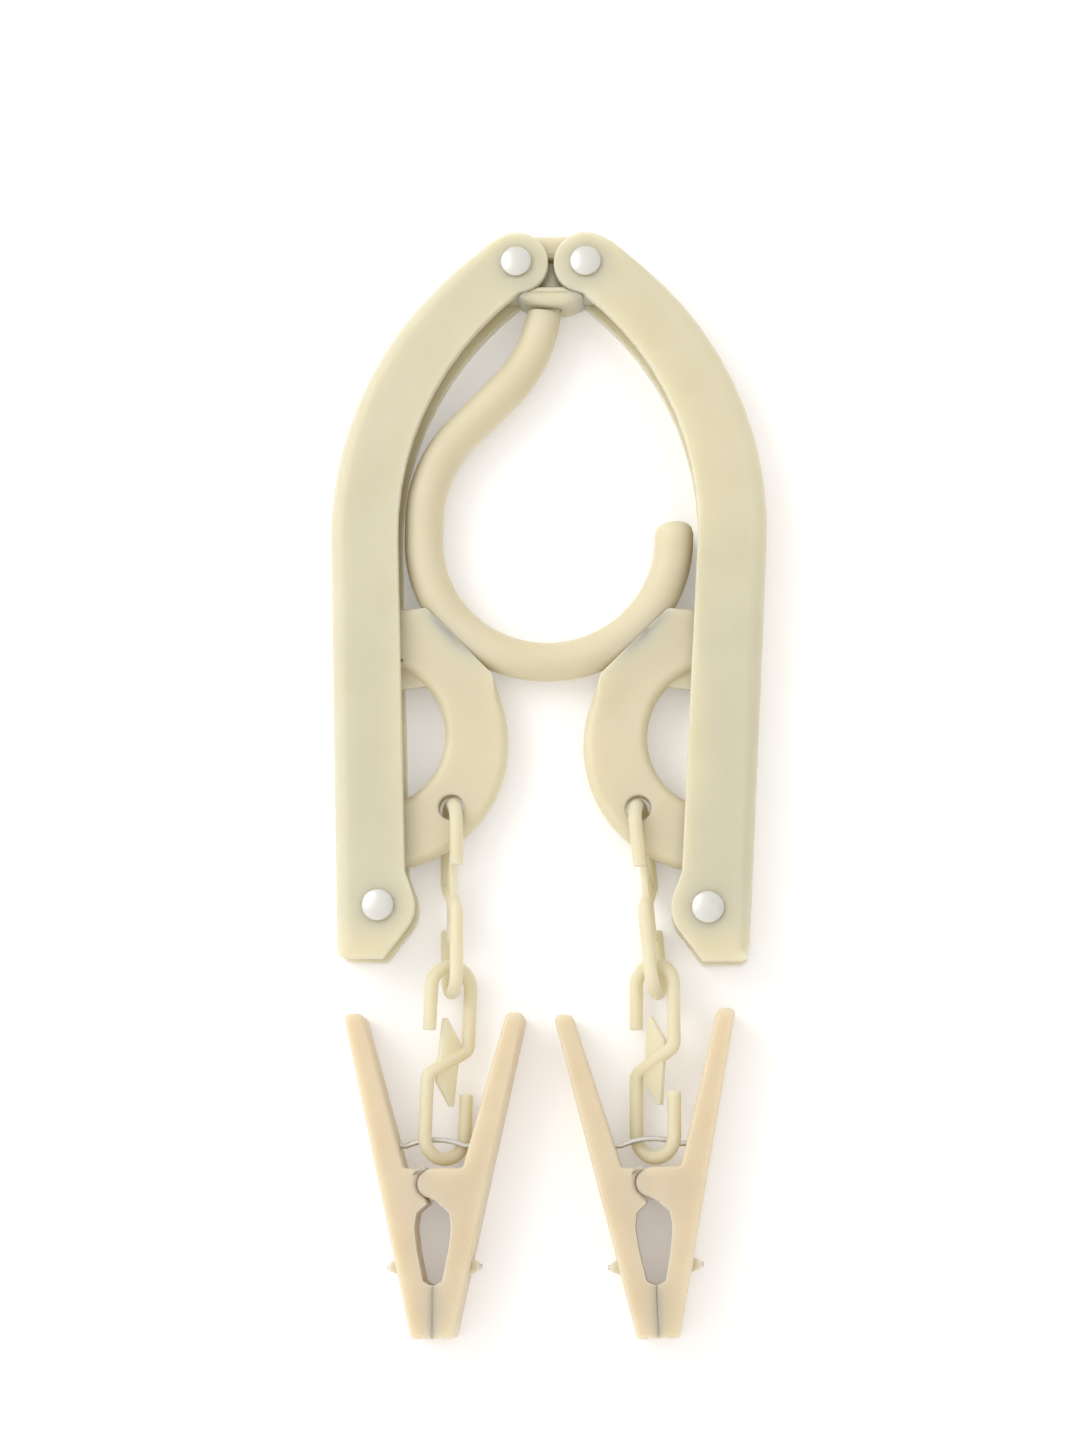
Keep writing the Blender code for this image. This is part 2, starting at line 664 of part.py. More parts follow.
def collar_outline():
    """Hollowed above by the arms' round ends and slightly crowned below."""
    clear = SHOULDER_EYE_RADIUS + FIT_GAP
    half_top = SHOULDER.x - math.sqrt(clear**2 - HUB_COLLAR_TOP_DROP**2)
    top = point(half_top, -HUB_COLLAR_TOP_DROP)
    corner_drop = math.sqrt(clear**2 - (SHOULDER.x - HUB_COLLAR_HALF_WIDTH) ** 2)
    corner = point(HUB_COLLAR_HALF_WIDTH, -corner_drop)
    hollow = arc(SHOULDER, clear, angle_to(SHOULDER, corner), angle_to(SHOULDER, top), SMALL_ARC_STEP)
    half_crown = math.asin(HUB_COLLAR_HALF_WIDTH / HUB_COLLAR_CURVE_RADIUS)
    low = -math.pi / 2.0
    crown = arc(crown_centre(), HUB_COLLAR_CURVE_RADIUS, low - half_crown, low + half_crown)
    right_side = crown + hollow
    left_side = [point(-p.x, p.y) for p in reversed(hollow)]
    return right_side + left_side


# Hook


def hook_path():
    """Down out of the collar, over to the left in a double bend, and round an open ring to its tip."""
    neck = point(-HOOK_NECK_OFFSET, -HUB_COLLAR_DROP - HOOK_SEAT_GAP)
    side_centre = point(HOOK_SIDE_BEND_RADIUS - HOOK_RING_RADIUS, -HOOK_SIDE_BEND_DROP)
    both = HOOK_STEM_BEND_RADIUS + HOOK_SIDE_BEND_RADIUS
    apart = math.hypot(both, HOOK_STRAIGHT)
    stem_centre = circles_meet(neck, HOOK_STEM_BEND_RADIUS, side_centre, apart)
    touch = angle_to(stem_centre, side_centre) + math.atan2(HOOK_STRAIGHT, both)
    step = HOOK_STEP / HOOK_RING_RADIUS
    start = angle_to(stem_centre, neck)
    path = arc(stem_centre, HOOK_STEM_BEND_RADIUS, start, touch, step)
    path += arc(side_centre, HOOK_SIDE_BEND_RADIUS, touch + math.pi, math.pi, step)
    tip = math.asin((HOOK_TIP_RISE - HOOK_TIP_ROUND) / HOOK_RING_RADIUS)
    ring = arc(HOOK_RING_CENTRE, HOOK_RING_RADIUS, math.pi, math.tau + tip, step)
    path += ring[1:]
    return path


def build_hook(plastic):
    path = hook_path()
    travelled = 0.0
    radii = []
    previous = path[0]
    for here in path:
        travelled += (here - previous).length
        previous = here
        share = min(1.0, travelled / HOOK_TAPER_LENGTH)
        radii.append(HOOK_NECK_ROD_RADIUS + (HOOK_ROD_RADIUS - HOOK_NECK_ROD_RADIUS) * share)
    along = (path[-1] - path[-2]).normalized()
    tip = path[-1]
    for angle in (30.0, 55.0, 78.0):
        turn = math.radians(angle)
        path.append(tip + along * (HOOK_TIP_ROUND * math.sin(turn)))
        radii.append(HOOK_ROD_RADIUS - HOOK_TIP_ROUND * (1.0 - math.cos(turn)))
    shape = rod(path, radii, HOOK_SIDES)
    hook = new_object("hook", shape, plastic, (0.0, 0.0, MIDDLE))

    head_low = -HUB_COLLAR_TOP_DROP + FIT_GAP
    rod_top = path[0].y
    head = turned_profile(
        [
            (0.0, rod_top - HOOK_SPIGOT_SINK),
            (HOOK_SPIGOT_RADIUS, rod_top - HOOK_SPIGOT_SINK),
            (HOOK_SPIGOT_RADIUS, head_low),
            (HOOK_HEAD_RADIUS, head_low),
            (HOOK_HEAD_RADIUS, head_low + HOOK_HEAD_LAND),
            (HOOK_HEAD_TOP_RADIUS, head_low + HOOK_HEAD_HEIGHT),
            (0.0, head_low + HOOK_HEAD_HEIGHT),
        ],
        HOOK_SIDES,
    )
    bmesh.ops.rotate(head, verts=head.verts, cent=(0.0, 0.0, 0.0), matrix=Matrix.Rotation(-math.pi / 2.0, 3, "X"))
    cut(hook, new_object("hook_head", head, None, (0.0, 0.0, MIDDLE)), "UNION")
    smooth(hook)
    return hook


# Forearms


def crescent_outline():
    """The plate of the forearm: crescent outside, running well into the bar on the other side."""
    down_right = point(math.sqrt(0.5), -math.sqrt(0.5))
    along = point(-down_right.y, down_right.x)
    nearest = HOOK_RING_CENTRE + down_right * (HOOK_RING_RADIUS + HOOK_ROD_RADIUS + CRESCENT_HOOK_GAP)
    top_y = ELBOW.y + FOREARM_TOP_RISE
    corner_y = ELBOW.y + CRESCENT_CORNER_RISE
    corner = lines_meet(nearest, along, point(0.0, corner_y), point(1.0, 0.0))
    bar_side_x = web_inner_x(top_y) - FIT_GAP - BAR_INNER_MARGIN
    bar_top = point(bar_side_x, top_y - BAR_INNER_MARGIN)
    centre = ELBOW + point(CRESCENT_BEYOND_ELBOW, CRESCENT_RISE)
    horn = line_meets_circle(nearest, -along, centre, CRESCENT_RADIUS)
    limb_y = ELBOW.y + CRESCENT_LIMB_RISE
    low_angle = math.asin((centre.y - limb_y) / CRESCENT_RADIUS) - math.pi
    outline = rounded(corner, horn, bar_top, CRESCENT_CORNER_RADIUS)
    outline += [bar_top, point(web_inner_x(limb_y) - FIT_GAP - BAR_INNER_MARGIN, limb_y + BAR_INNER_MARGIN)]
    outline += [point(ELBOW.x + BAR_INNER_MARGIN, limb_y)]
    curve = arc(centre, CRESCENT_RADIUS, low_angle, angle_to(centre, horn) - math.tau * (angle_to(centre, horn) > 0.0))
    return outline + curve


def beside_hook(middle):
    """True along the crescent's straight edge that lies against the hook."""
    away = Vector((abs(middle.x), middle.y)) - HOOK_RING_CENTRE
    down_right = point(math.sqrt(0.5), -math.sqrt(0.5))
    seat = HOOK_RING_RADIUS + HOOK_ROD_RADIUS + CRESCENT_HOOK_GAP
    return away.dot(down_right) < seat + CRESCENT_HOOK_EDGE_BEVEL


def bar_outline():
    """The part of the forearm that stays inside the channel, with the eye at the elbow."""
    top_y = ELBOW.y + FOREARM_TOP_RISE
    outer_top = point(web_inner_x(top_y) - FIT_GAP, top_y)
    inner_top = point(leg_x(ARM_INNER_CENTRE, ARM_INNER_RADIUS, top_y) + BAR_INNER_MARGIN, top_y)
    limb_y = ELBOW.y + CRESCENT_LIMB_RISE
    outer_low = point(web_inner_x(limb_y) - FIT_GAP, limb_y)
    inner_low = point(leg_x(ARM_INNER_CENTRE, ARM_INNER_RADIUS, limb_y) + BAR_INNER_MARGIN, limb_y)
    outline = rounded(inner_top, inner_low, outer_top, BAR_CORNER)
    outline += rounded(outer_top, inner_top, outer_low, BAR_CORNER)
    outline += [outer_low]
    outline += arc(ELBOW, FOREARM_EYE_RADIUS, math.radians(25.0), math.radians(-215.0), math.radians(15.0))
    outline += [inner_low]
    return outline


def window_outline():
    """The D-shaped opening between the crescent and the bar."""
    centre = ELBOW + point(WINDOW_BEYOND_ELBOW, WINDOW_RISE)
    bar_x = web_inner_x(centre.y) - FIT_GAP - BAR_WIDTH
    edge = math.acos(max(-1.0, min(1.0, (bar_x - centre.x) / WINDOW_HALF_WIDTH)))
    count = 26
    outline = []
    for i in range(count + 1):
        angle = edge + (math.tau - 2.0 * edge) * i / count
        outline.append(
            centre + point(WINDOW_HALF_WIDTH * math.cos(angle), WINDOW_HALF_HEIGHT * math.sin(angle))
        )
    return outline


def build_forearm(side_name, side, plastic):
    pivot = point(ELBOW.x * side, ELBOW.y)
    low = MIDDLE - CRESCENT_THICKNESS / 2.0
    high = MIDDLE + CRESCENT_THICKNESS / 2.0
    edges = (
        (CRESCENT_HOOK_EDGE_BEVEL, 1, beside_hook),
        (CRESCENT_EDGE_BEVEL, 3, everywhere),
    )
    shape = slab(to_side(crescent_outline(), side), low, high, edges)
    forearm = joint_piece(side_name + "_forearm", shape, plastic, pivot)
    opening = slab(to_side(window_outline(), side), -OVERRUN, ARM_DEPTH + OVERRUN)
    gusset_centre = point((ELBOW.x - GUSSET_BEFORE_ELBOW) * side, ELBOW.y + GUSSET_RISE)
    gusset = pin_hole(
        side_name + "_gusset",
        gusset_centre,
        GUSSET_RADIUS,
        MIDDLE - GUSSET_THICKNESS / 2.0,
        MIDDLE + GUSSET_THICKNESS / 2.0,
    )
    bar_low = MIDDLE - BAR_THICKNESS / 2.0
    bar_high = MIDDLE + BAR_THICKNESS / 2.0
    bar = slab(to_side(bar_outline(), side), bar_low, bar_high, ((FOREARM_EDGE_BEVEL, 1, everywhere),))
    cut(forearm, new_object(side_name + "_bar", bar, None, (0.0, 0.0, 0.0)), "UNION")
    cut(forearm, new_object(side_name + "_window", opening, None, (0.0, 0.0, 0.0)))
    cut(forearm, gusset, "UNION")
    hole_centre = point(STRAND_HOLE.x * side, STRAND_HOLE.y)
    cut(forearm, pin_hole(side_name + "_strand_hole", hole_centre, STRAND_HOLE_RADIUS, 0.0, ARM_DEPTH))
    radius = RIVET_SHANK_RADIUS + PIN_GAP
    cut(forearm, pin_hole(side_name + "_eye_bore", pivot, radius, 0.0, ARM_DEPTH))
    smooth(forearm)
    return forearm


# Chain links


def link_path():
    """One S of rod, drawn upright about its own middle."""
    top = point(0.0, LINK_HALF_LENGTH - LINK_HALF_WIDTH)
    free_end = point(-LINK_HALF_WIDTH, LINK_FREE_END_RISE)
    upper_bend = point(LINK_HALF_WIDTH, LINK_CROSS_HALF_RISE)
    lower_bend = point(-LINK_HALF_WIDTH, -LINK_CROSS_HALF_RISE)
    loop = arc(top, LINK_HALF_WIDTH, math.pi, 0.0, math.pi / LINK_ARC_STEPS)
    half = [free_end, *loop]
    half += rounded(upper_bend, loop[-1], lower_bend, LINK_CROSS_BEND, math.radians(30.0))
    return half + [-p for p in reversed(half)]


def barb_outline():
    tip_side = LINK_BARB_STRAIGHT_SIDE - LINK_BARB_TIP_WIDTH
    upper = [
        point(-LINK_BARB_STRAIGHT_SIDE, LINK_BARB_LENGTH),
        point(-tip_side, LINK_BARB_LENGTH),
        point(LINK_BARB_SWELL, LINK_BARB_SWELL_RISE),
    ]
    return upper + [-p for p in upper]


def build_link(name, top_pin, rise, tilt, spin, plastic):
    """The link hangs from its top pin; tilt turns it in the hanger's plane and spin about its length."""
    path = link_path()
    shape = rod(path, [LINK_ROD_RADIUS] * len(path), LINK_SIDES)
    barb = slab(barb_outline(), -LINK_BARB_THICKNESS / 2.0, LINK_BARB_THICKNESS / 2.0)
    hang = Matrix.Translation((0.0, rise - LINK_HALF_LENGTH, 0.0)) @ Matrix.Rotation(spin, 4, "Y")
    for piece in (shape, barb):
        bmesh.ops.transform(piece, matrix=hang, verts=piece.verts)
    place = (top_pin.x, top_pin.y, MIDDLE)
    link = new_object(name, shape, plastic, place, tilt)
    cut(link, new_object(name + "_barb", barb, None, place, tilt), "UNION")
    smooth(link)
    return link


# Pegs


def outer_edge_u(v):
    """Half the peg's width over its straight outer edges."""
    share = (v + PEG_TIP_DROP) / (PEG_HANDLE_RISE + PEG_TIP_DROP)
    return PEG_TIP_HALF_WIDTH + (PEG_HANDLE_OUTER - PEG_TIP_HALF_WIDTH) * share


def half_outer_edge(gap):
    """From the jaw's tip, up the outer edge over the lug, round the handle's end and down to the saddle."""
    handle_outer = point(PEG_HANDLE_OUTER, PEG_HANDLE_RISE)
    handle_inner = point(PEG_HANDLE_INNER, PEG_HANDLE_RISE)
    saddle = point(PEG_SADDLE_HALF_WIDTH, PEG_SADDLE_RISE)
    tip = point(PEG_TIP_HALF_WIDTH, -PEG_TIP_DROP)
    edge = [point(gap, -PEG_TIP_DROP), tip]
    edge += rounded(handle_outer, tip, handle_inner, PEG_HANDLE_END_ROUND, math.radians(40.0))
    edge += rounded(handle_inner, handle_outer, saddle, PEG_HANDLE_END_ROUND, math.radians(40.0))
    edge += rounded(saddle, handle_inner, point(0.0, PEG_SADDLE_RISE), PEG_SADDLE_FILLET, math.radians(40.0))
    return edge


def bay_edge(gap):
    """The tear-drop bay's side: a round arch under the pivot, then a taper to the jaw's meeting face."""
    arch_height = PEG_BAY_WIDEST_DROP - PEG_BAY_TOP_DROP
    edge = []
    for i in range(1, PEG_BAY_ARCH_STEPS + 1):
        angle = math.pi / 2.0 * (1.0 - i / PEG_BAY_ARCH_STEPS)
        across = PEG_BAY_WIDEST_HALF_WIDTH * math.cos(angle)
        edge.append(point(across, arch_height * math.sin(angle) - PEG_BAY_WIDEST_DROP))
    edge += [
        point(PEG_BAY_WAIST_HALF_WIDTH, -PEG_BAY_WAIST_DROP),
        point(PEG_BAY_FOOT_HALF_WIDTH, -PEG_BAY_FOOT_DROP),
        point(PEG_BAY_POINT_HALF_WIDTH, -PEG_BAY_POINT_DROP),
        point(gap, -PEG_BAY_POINT_DROP),
    ]
    return edge


def nose_half_outline():
    """The half that carries the round nose; drawn on the right."""
    pivot = point(-PEG_PIVOT_SHIFT, 0.0)
    outline = half_outer_edge(FIT_GAP / 2.0)
    outline += [point(0.0, PEG_SADDLE_RISE)]
    outline += arc(pivot, PEG_PIVOT_RADIUS, math.radians(96.0), math.radians(262.0), math.radians(16.0))
    outline += [point(PEG_PIVOT_SHIFT, -PEG_BAY_TOP_DROP)]
    return outline + bay_edge(FIT_GAP / 2.0)


def socket_half_outline():
    """The half that holds the nose in its socket; drawn on the left."""
    pivot = point(-PEG_PIVOT_SHIFT, 0.0)
    socket = PEG_PIVOT_RADIUS + FIT_GAP
    mirrored_edge = [point(-p.x, p.y) for p in half_outer_edge(FIT_GAP / 2.0)]
    mirrored_bay = [point(-p.x, p.y) for p in bay_edge(FIT_GAP / 2.0)]
    lip = pivot + point(math.cos(PEG_LIP_ANGLE), math.sin(PEG_LIP_ANGLE)) * socket
    outline = mirrored_edge
    outline += [point(lip.x, PEG_SADDLE_RISE)]
    outline += arc(pivot, socket, PEG_LIP_ANGLE, math.radians(250.0), math.radians(16.0))
    return outline + mirrored_bay


def lug_outline(side):
    low = -PEG_LUG_DROP - PEG_LUG_HALF_LENGTH
    high = -PEG_LUG_DROP + PEG_LUG_HALF_LENGTH
    inside = PEG_LUG_HEIGHT
    right = [
        point(outer_edge_u(low) - inside, low),
        point(outer_edge_u(low), low),
        point(outer_edge_u(-PEG_LUG_DROP) + PEG_LUG_HEIGHT, -PEG_LUG_DROP - PEG_LUG_HALF_LENGTH / 2.0),
        point(outer_edge_u(-PEG_LUG_DROP) + PEG_LUG_HEIGHT, -PEG_LUG_DROP + PEG_LUG_HALF_LENGTH / 2.0),
        point(outer_edge_u(high), high),
        point(outer_edge_u(high) - inside, high),
    ]
    return to_side(right, side)


def wire_slot_outline(side):
    """The slot the spring lies in: up the outer edge from the lug, then across to the inner face."""
    low = -PEG_LUG_DROP - WIRE_SLOT_HALF_WIDTH
    crossing = WIRE_CROSSING_RISE
    above = crossing + WIRE_SLOT_HALF_WIDTH
    below = crossing - WIRE_SLOT_HALF_WIDTH
    right = [
        point(outer_edge_u(low) + OVERRUN, low),
        point(outer_edge_u(low) - WIRE_SLOT_DEPTH, low),
        point(outer_edge_u(below) - WIRE_SLOT_DEPTH, below),
        point(PEG_SADDLE_HALF_WIDTH - OVERRUN / 2.0, below),
        point(PEG_SADDLE_HALF_WIDTH - OVERRUN / 2.0, above),
        point(outer_edge_u(above) + OVERRUN, above),
    ]
    return to_side(right, side)


def build_peg_half(name, outline, side, pivot, tilt, plastic):
    """Drawn about the peg's own middle, then moved so that its origin is the jaw's pivot."""
    shift = Vector((PEG_PIVOT_SHIFT, 0.0, 0.0))
    low = -PEG_DEPTH / 2.0
    high = PEG_DEPTH / 2.0
    body = slab(outline, low, high, ((PEG_EDGE_BEVEL, 2, everywhere),))
    lug = slab(lug_outline(side), -PEG_LUG_HALF_DEPTH, PEG_LUG_HALF_DEPTH)
    slot = slab(wire_slot_outline(side), -WIRE_SLOT_HALF_WIDTH, WIRE_SLOT_HALF_WIDTH)
    for shape in (body, lug, slot):
        bmesh.ops.translate(shape, verts=shape.verts, vec=shift)
    place = (pivot.x, pivot.y, MIDDLE)
    half = new_object(name, body, plastic, place, tilt)
    cut(half, new_object(name + "_lug", lug, None, place, tilt), "UNION")
    cut(half, new_object(name + "_slot", slot, None, place, tilt))
    smooth(half)
    return half


def wire_path():
    """From the left lug up the left groove, arched over the saddle, and down the right groove."""
    groove = WIRE_SLOT_DEPTH / 2.0
    start_v = -PEG_LUG_DROP
    end = point(outer_edge_u(start_v) + PEG_LUG_HEIGHT - WIRE_RADIUS, start_v)
    foot = point(outer_edge_u(start_v) - groove, start_v)
    knee = point(outer_edge_u(WIRE_CROSSING_RISE) - groove, WIRE_CROSSING_RISE)
    inner = point(PEG_SADDLE_HALF_WIDTH, WIRE_CROSSING_RISE)
    half_chord = PEG_SADDLE_HALF_WIDTH
    sag = WIRE_ARCH_RISE - WIRE_CROSSING_RISE
    radius = (half_chord**2 + sag**2) / (2.0 * sag)
    centre = point(0.0, WIRE_ARCH_RISE - radius)
    sweep = math.asin(half_chord / radius)
    arch = arc(centre, radius, math.pi / 2.0 - sweep, math.pi / 2.0 + sweep, sweep / 4.0)
    right = [end]
    right += rounded(foot, end, knee, WIRE_BEND_RADIUS / 2.0, math.radians(30.0))
    right += rounded(knee, foot, inner, WIRE_BEND_RADIUS, math.radians(30.0))
    left = [point(-p.x, p.y) for p in reversed(right)]
    return right + arch + left


def build_spring(name, peg_middle, tilt, steel):
    path = wire_path()
    shape = rod(path, [WIRE_RADIUS] * len(path), WIRE_SIDES)
    spring = new_object(name, shape, steel, (peg_middle.x, peg_middle.y, MIDDLE), tilt)
    smooth(spring)
    return spring


# The whole hanger

STRANDS = {
    "left": {
        "side": LEFT,
        "upper_tilt": UPPER_LINK_TILT_LEFT,
        "upper_spin": UPPER_LINK_SPIN_LEFT,
        "lower_tilt": LOWER_LINK_TILT_LEFT,
        "slack": LINK_SLACK_LEFT,
        "peg_tilt": PEG_TILT_LEFT,
        "lower_spin": LOWER_LINK_SPIN_LEFT,
        "peg_shift": PEG_LINK_SIDE_SHIFT_LEFT,
    },
    "right": {
        "side": RIGHT,
        "upper_tilt": UPPER_LINK_TILT_RIGHT,
        "upper_spin": UPPER_LINK_SPIN_RIGHT,
        "lower_tilt": LOWER_LINK_TILT_RIGHT,
        "slack": LINK_SLACK_RIGHT,
        "peg_tilt": PEG_TILT_RIGHT,
        "lower_spin": LOWER_LINK_SPIN_RIGHT,
        "peg_shift": PEG_LINK_SIDE_SHIFT_RIGHT,
    },
}


def strand_places(strand):
    """The pins that a strand's pieces turn on, from the forearm's hole down to the peg's jaw."""
    hole = point(STRAND_HOLE.x * strand["side"], STRAND_HOLE.y)
    upper_foot = hole + turned(point(0.0, LINK_PIN_RISE - 2.0 * LINK_HALF_LENGTH), strand["upper_tilt"])
    lower_top = upper_foot + turned(point(0.0, strand["slack"]), strand["upper_tilt"])
    lower_foot = lower_top + turned(point(0.0, -2.0 * LINK_HALF_LENGTH), strand["lower_tilt"])
    middle = lower_foot - turned(point(strand["peg_shift"], PEG_LINK_SEAT_RISE), strand["peg_tilt"])
    pivot = middle + turned(point(-PEG_PIVOT_SHIFT, 0.0), strand["peg_tilt"])
    return {"hole": hole, "lower_top": lower_top, "middle": middle, "pivot": pivot}


def build_strand(side_name, strand, plastic, peg_plastic, steel):
    places = strand_places(strand)
    upper_name = side_name + "_upper_link"
    lower_name = side_name + "_lower_link"
    build_link(upper_name, places["hole"], LINK_PIN_RISE, strand["upper_tilt"], strand["upper_spin"], plastic)
    build_link(lower_name, places["lower_top"], 0.0, strand["lower_tilt"], strand["lower_spin"], plastic)
    tilt = strand["peg_tilt"]
    build_peg_half(side_name + "_peg_nose_half", nose_half_outline(), RIGHT, places["pivot"], tilt, peg_plastic)
    build_peg_half(side_name + "_peg_socket_half", socket_half_outline(), LEFT, places["pivot"], tilt, peg_plastic)
    build_spring(side_name + "_peg_spring", places["middle"], tilt, steel)


def centre_on_origin():
    """Carries every piece on one frame, moved so that the middle of the hanger's length is the origin."""
    frame = bpy.data.objects.new("hanger_frame", None)
    bpy.context.collection.objects.link(frame)
    for piece in bpy.data.objects:
        if piece is not frame:
            piece.parent = frame
    bpy.context.view_layer.update()
    heights = []
    for piece in bpy.data.objects:
        if piece.type == "MESH" and not piece.hide_render:
            heights += [(piece.matrix_world @ v.co).y for v in piece.data.vertices]
    frame.location.y = -(min(heights) + max(heights)) / 2.0
    bpy.context.view_layer.update()
    return frame


def main():
    clear_scene()
    plastic = plain_material("cream_plastic", (0.735, 0.672, 0.468), 0.42, 0.0)
    peg_plastic = plain_material("cream_peg_plastic", (0.745, 0.660, 0.470), 0.45, 0.0)
    steel = plain_material("nickel_plated_steel", (0.86, 0.86, 0.84), 0.22, 1.0)
    wire = plain_material("spring_wire", (0.72, 0.70, 0.68), 0.30, 1.0)

    build_hub(plastic)
    build_hook(plastic)
    for side_name, side in SIDES:
        build_arm(side_name, side, plastic)
        build_forearm(side_name, side, plastic)
        joints = (("shoulder", SHOULDER), ("elbow", ELBOW))
        for joint_name, place in joints:
            centre = point(place.x * side, place.y)
            build_rivet(side_name + "_" + joint_name + "_rivet", centre, steel)
            build_washer(side_name + "_" + joint_name + "_washer", centre, steel)
        build_strand(side_name, STRANDS[side_name], plastic, peg_plastic, wire)
    centre_on_origin()


main()
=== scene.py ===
"""The looks of a pocket clothes hanger, folded flat on a white table, a small peg hanging at each side."""

import json
import math

import bmesh
import bpy
from mathutils import Matrix, Vector


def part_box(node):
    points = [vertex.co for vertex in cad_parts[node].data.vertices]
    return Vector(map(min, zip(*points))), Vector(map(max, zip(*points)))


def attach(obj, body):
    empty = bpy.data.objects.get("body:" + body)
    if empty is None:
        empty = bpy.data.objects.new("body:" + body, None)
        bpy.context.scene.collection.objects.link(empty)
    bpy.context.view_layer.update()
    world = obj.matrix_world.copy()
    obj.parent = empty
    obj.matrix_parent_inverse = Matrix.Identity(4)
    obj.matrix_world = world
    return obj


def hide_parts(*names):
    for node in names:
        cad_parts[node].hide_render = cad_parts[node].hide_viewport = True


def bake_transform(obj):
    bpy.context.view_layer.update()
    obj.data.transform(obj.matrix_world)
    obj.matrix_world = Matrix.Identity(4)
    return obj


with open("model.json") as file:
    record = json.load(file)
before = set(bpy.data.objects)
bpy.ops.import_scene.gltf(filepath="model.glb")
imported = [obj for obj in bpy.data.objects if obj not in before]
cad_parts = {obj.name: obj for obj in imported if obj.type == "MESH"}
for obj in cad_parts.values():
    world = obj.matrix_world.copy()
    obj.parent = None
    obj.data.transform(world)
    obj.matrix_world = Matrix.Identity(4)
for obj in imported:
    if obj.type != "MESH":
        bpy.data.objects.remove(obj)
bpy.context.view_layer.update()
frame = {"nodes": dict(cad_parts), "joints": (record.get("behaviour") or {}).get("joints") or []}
nodes = frame["nodes"]
millimetre = 0.001
sides = ("left", "right")

# The view
# The picture was taken with a long lens from above the pegs, a little to the right, looking down at the
# table. Its height, tilt and lens were worked out from the four rivets, the arms' length and their lean.

low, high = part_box("left_shoulder_rivet")
shoulder = Vector(((high[0] + low[0]) / 2.0, (high[1] + low[1]) / 2.0, 0.0))
shoulder_y = shoulder.y

camera_right = Vector((0.99836554, 0.01327737, -0.05558741))
camera_up = Vector((-0.00239722, 0.98151215, 0.19138485))
camera_back = Vector((0.05710081, -0.19093878, 0.97993973))
camera_place = Vector((25.02, -168.73, 449.6)) * millimetre + Vector((0.0, shoulder_y, 0.0))

lens = bpy.data.cameras.new("copy_stand_lens")
lens.sensor_fit = "AUTO"
lens.sensor_width = 36.0
lens.lens = 65.49
lens.clip_start = 0.01
lens.clip_end = 20.0
camera = bpy.data.objects.new("copy_stand_camera", lens)
bpy.context.collection.objects.link(camera)
turn = Matrix((camera_right, camera_up, camera_back)).transposed().to_4x4()
camera.matrix_world = Matrix.Translation(camera_place) @ turn
bpy.context.scene.camera = camera
bpy.context.scene.view_settings.view_transform = "Standard"

# The table and the light
# A white laminate table in a bright white room, with one wide soft light low on the left.
# The room fills the shadows almost away, so only a faint warm shade is left beside each piece.


def linear(code):
    """A colour written as #rrggbb, turned to the linear values that shaders take."""
    channels = [int(code[i : i + 2], 16) / 255.0 for i in (1, 3, 5)]
    curve = [c / 12.92 if c <= 0.04045 else ((c + 0.055) / 1.055) ** 2.4 for c in channels]
    return (*curve, 1.0)


def add(tree, kind, settings=None, links=None):
    """Adds a node with its settings, and links into its sockets."""
    node = tree.nodes.new(kind)
    for name, value in (settings or {}).items():
        if isinstance(name, int) or name in node.inputs:
            node.inputs[name].default_value = value
        else:
            setattr(node, name, value)
    for name, source in (links or {}).items():
        tree.links.new(source, node.inputs[name])
    return node


def noise(tree, place, size, detail, **more):
    """Noise in an object's own coordinates, with swells of the given size in metres."""
    settings = {"Scale": 1.0 / size, "Detail": detail, **more}
    return add(tree, "ShaderNodeTexNoise", settings, {"Vector": place.outputs["Object"]})


def new_material(name):
    """An empty material, ready for its shader."""
    material = bpy.data.materials.new(name)
    material.use_nodes = True
    material.node_tree.nodes.clear()
    return material, material.node_tree


# Melamine laminate: flat, dry and very slightly uneven, with the small grain of its press plate.
laminate, tree = new_material("white_table_laminate")
place = add(tree, "ShaderNodeTexCoord")
press_grain = noise(tree, place, 0.8 * millimetre, 2.0)
press_bump = add(
    tree,
    "ShaderNodeBump",
    {"Strength": 0.05, "Distance": 0.05 * millimetre},
    {"Height": press_grain.outputs["Fac"]},
)
shader = add(
    tree,
    "ShaderNodeBsdfPrincipled",
    {
        "Base Color": linear("#f9f7f6"),
        "Roughness": 0.62,
        "Specular IOR Level": 0.3,
        "Emission Color": linear("#fbfcff"),
        "Emission Strength": 0.17,
    },
    {"Normal": press_bump.outputs[0]},
)
add(tree, "ShaderNodeOutputMaterial", links={"Surface": shader.outputs[0]})

table_half = 3.0
surface = bmesh.new()
corners = [(-1.0, -1.0), (1.0, -1.0), (1.0, 1.0), (-1.0, 1.0)]
surface.faces.new([surface.verts.new((x * table_half, y * table_half, 0.0)) for x, y in corners])
table_mesh = bpy.data.meshes.new("table")
surface.to_mesh(table_mesh)
surface.free()
table_mesh.materials.append(laminate)
table = bpy.data.objects.new("table", table_mesh)
bpy.context.collection.objects.link(table)

room = bpy.data.worlds.new("bright_room")
room.use_nodes = True
tree = room.node_tree
towards = add(tree, "ShaderNodeTexCoord")
apart = add(tree, "ShaderNodeSeparateXYZ", links={"Vector": towards.outputs["Generated"]})
brightness = add(
    tree,
    "ShaderNodeMapRange",
    {"From Min": -1.0, "From Max": 1.0, "To Min": 1.16, "To Max": 0.80},
    {"Value": apart.outputs["X"]},
)
backdrop = tree.nodes["Background"]
backdrop.inputs["Color"].default_value = linear("#fffefc")
tree.links.new(brightness.outputs[0], backdrop.inputs["Strength"])
bpy.context.scene.world = room

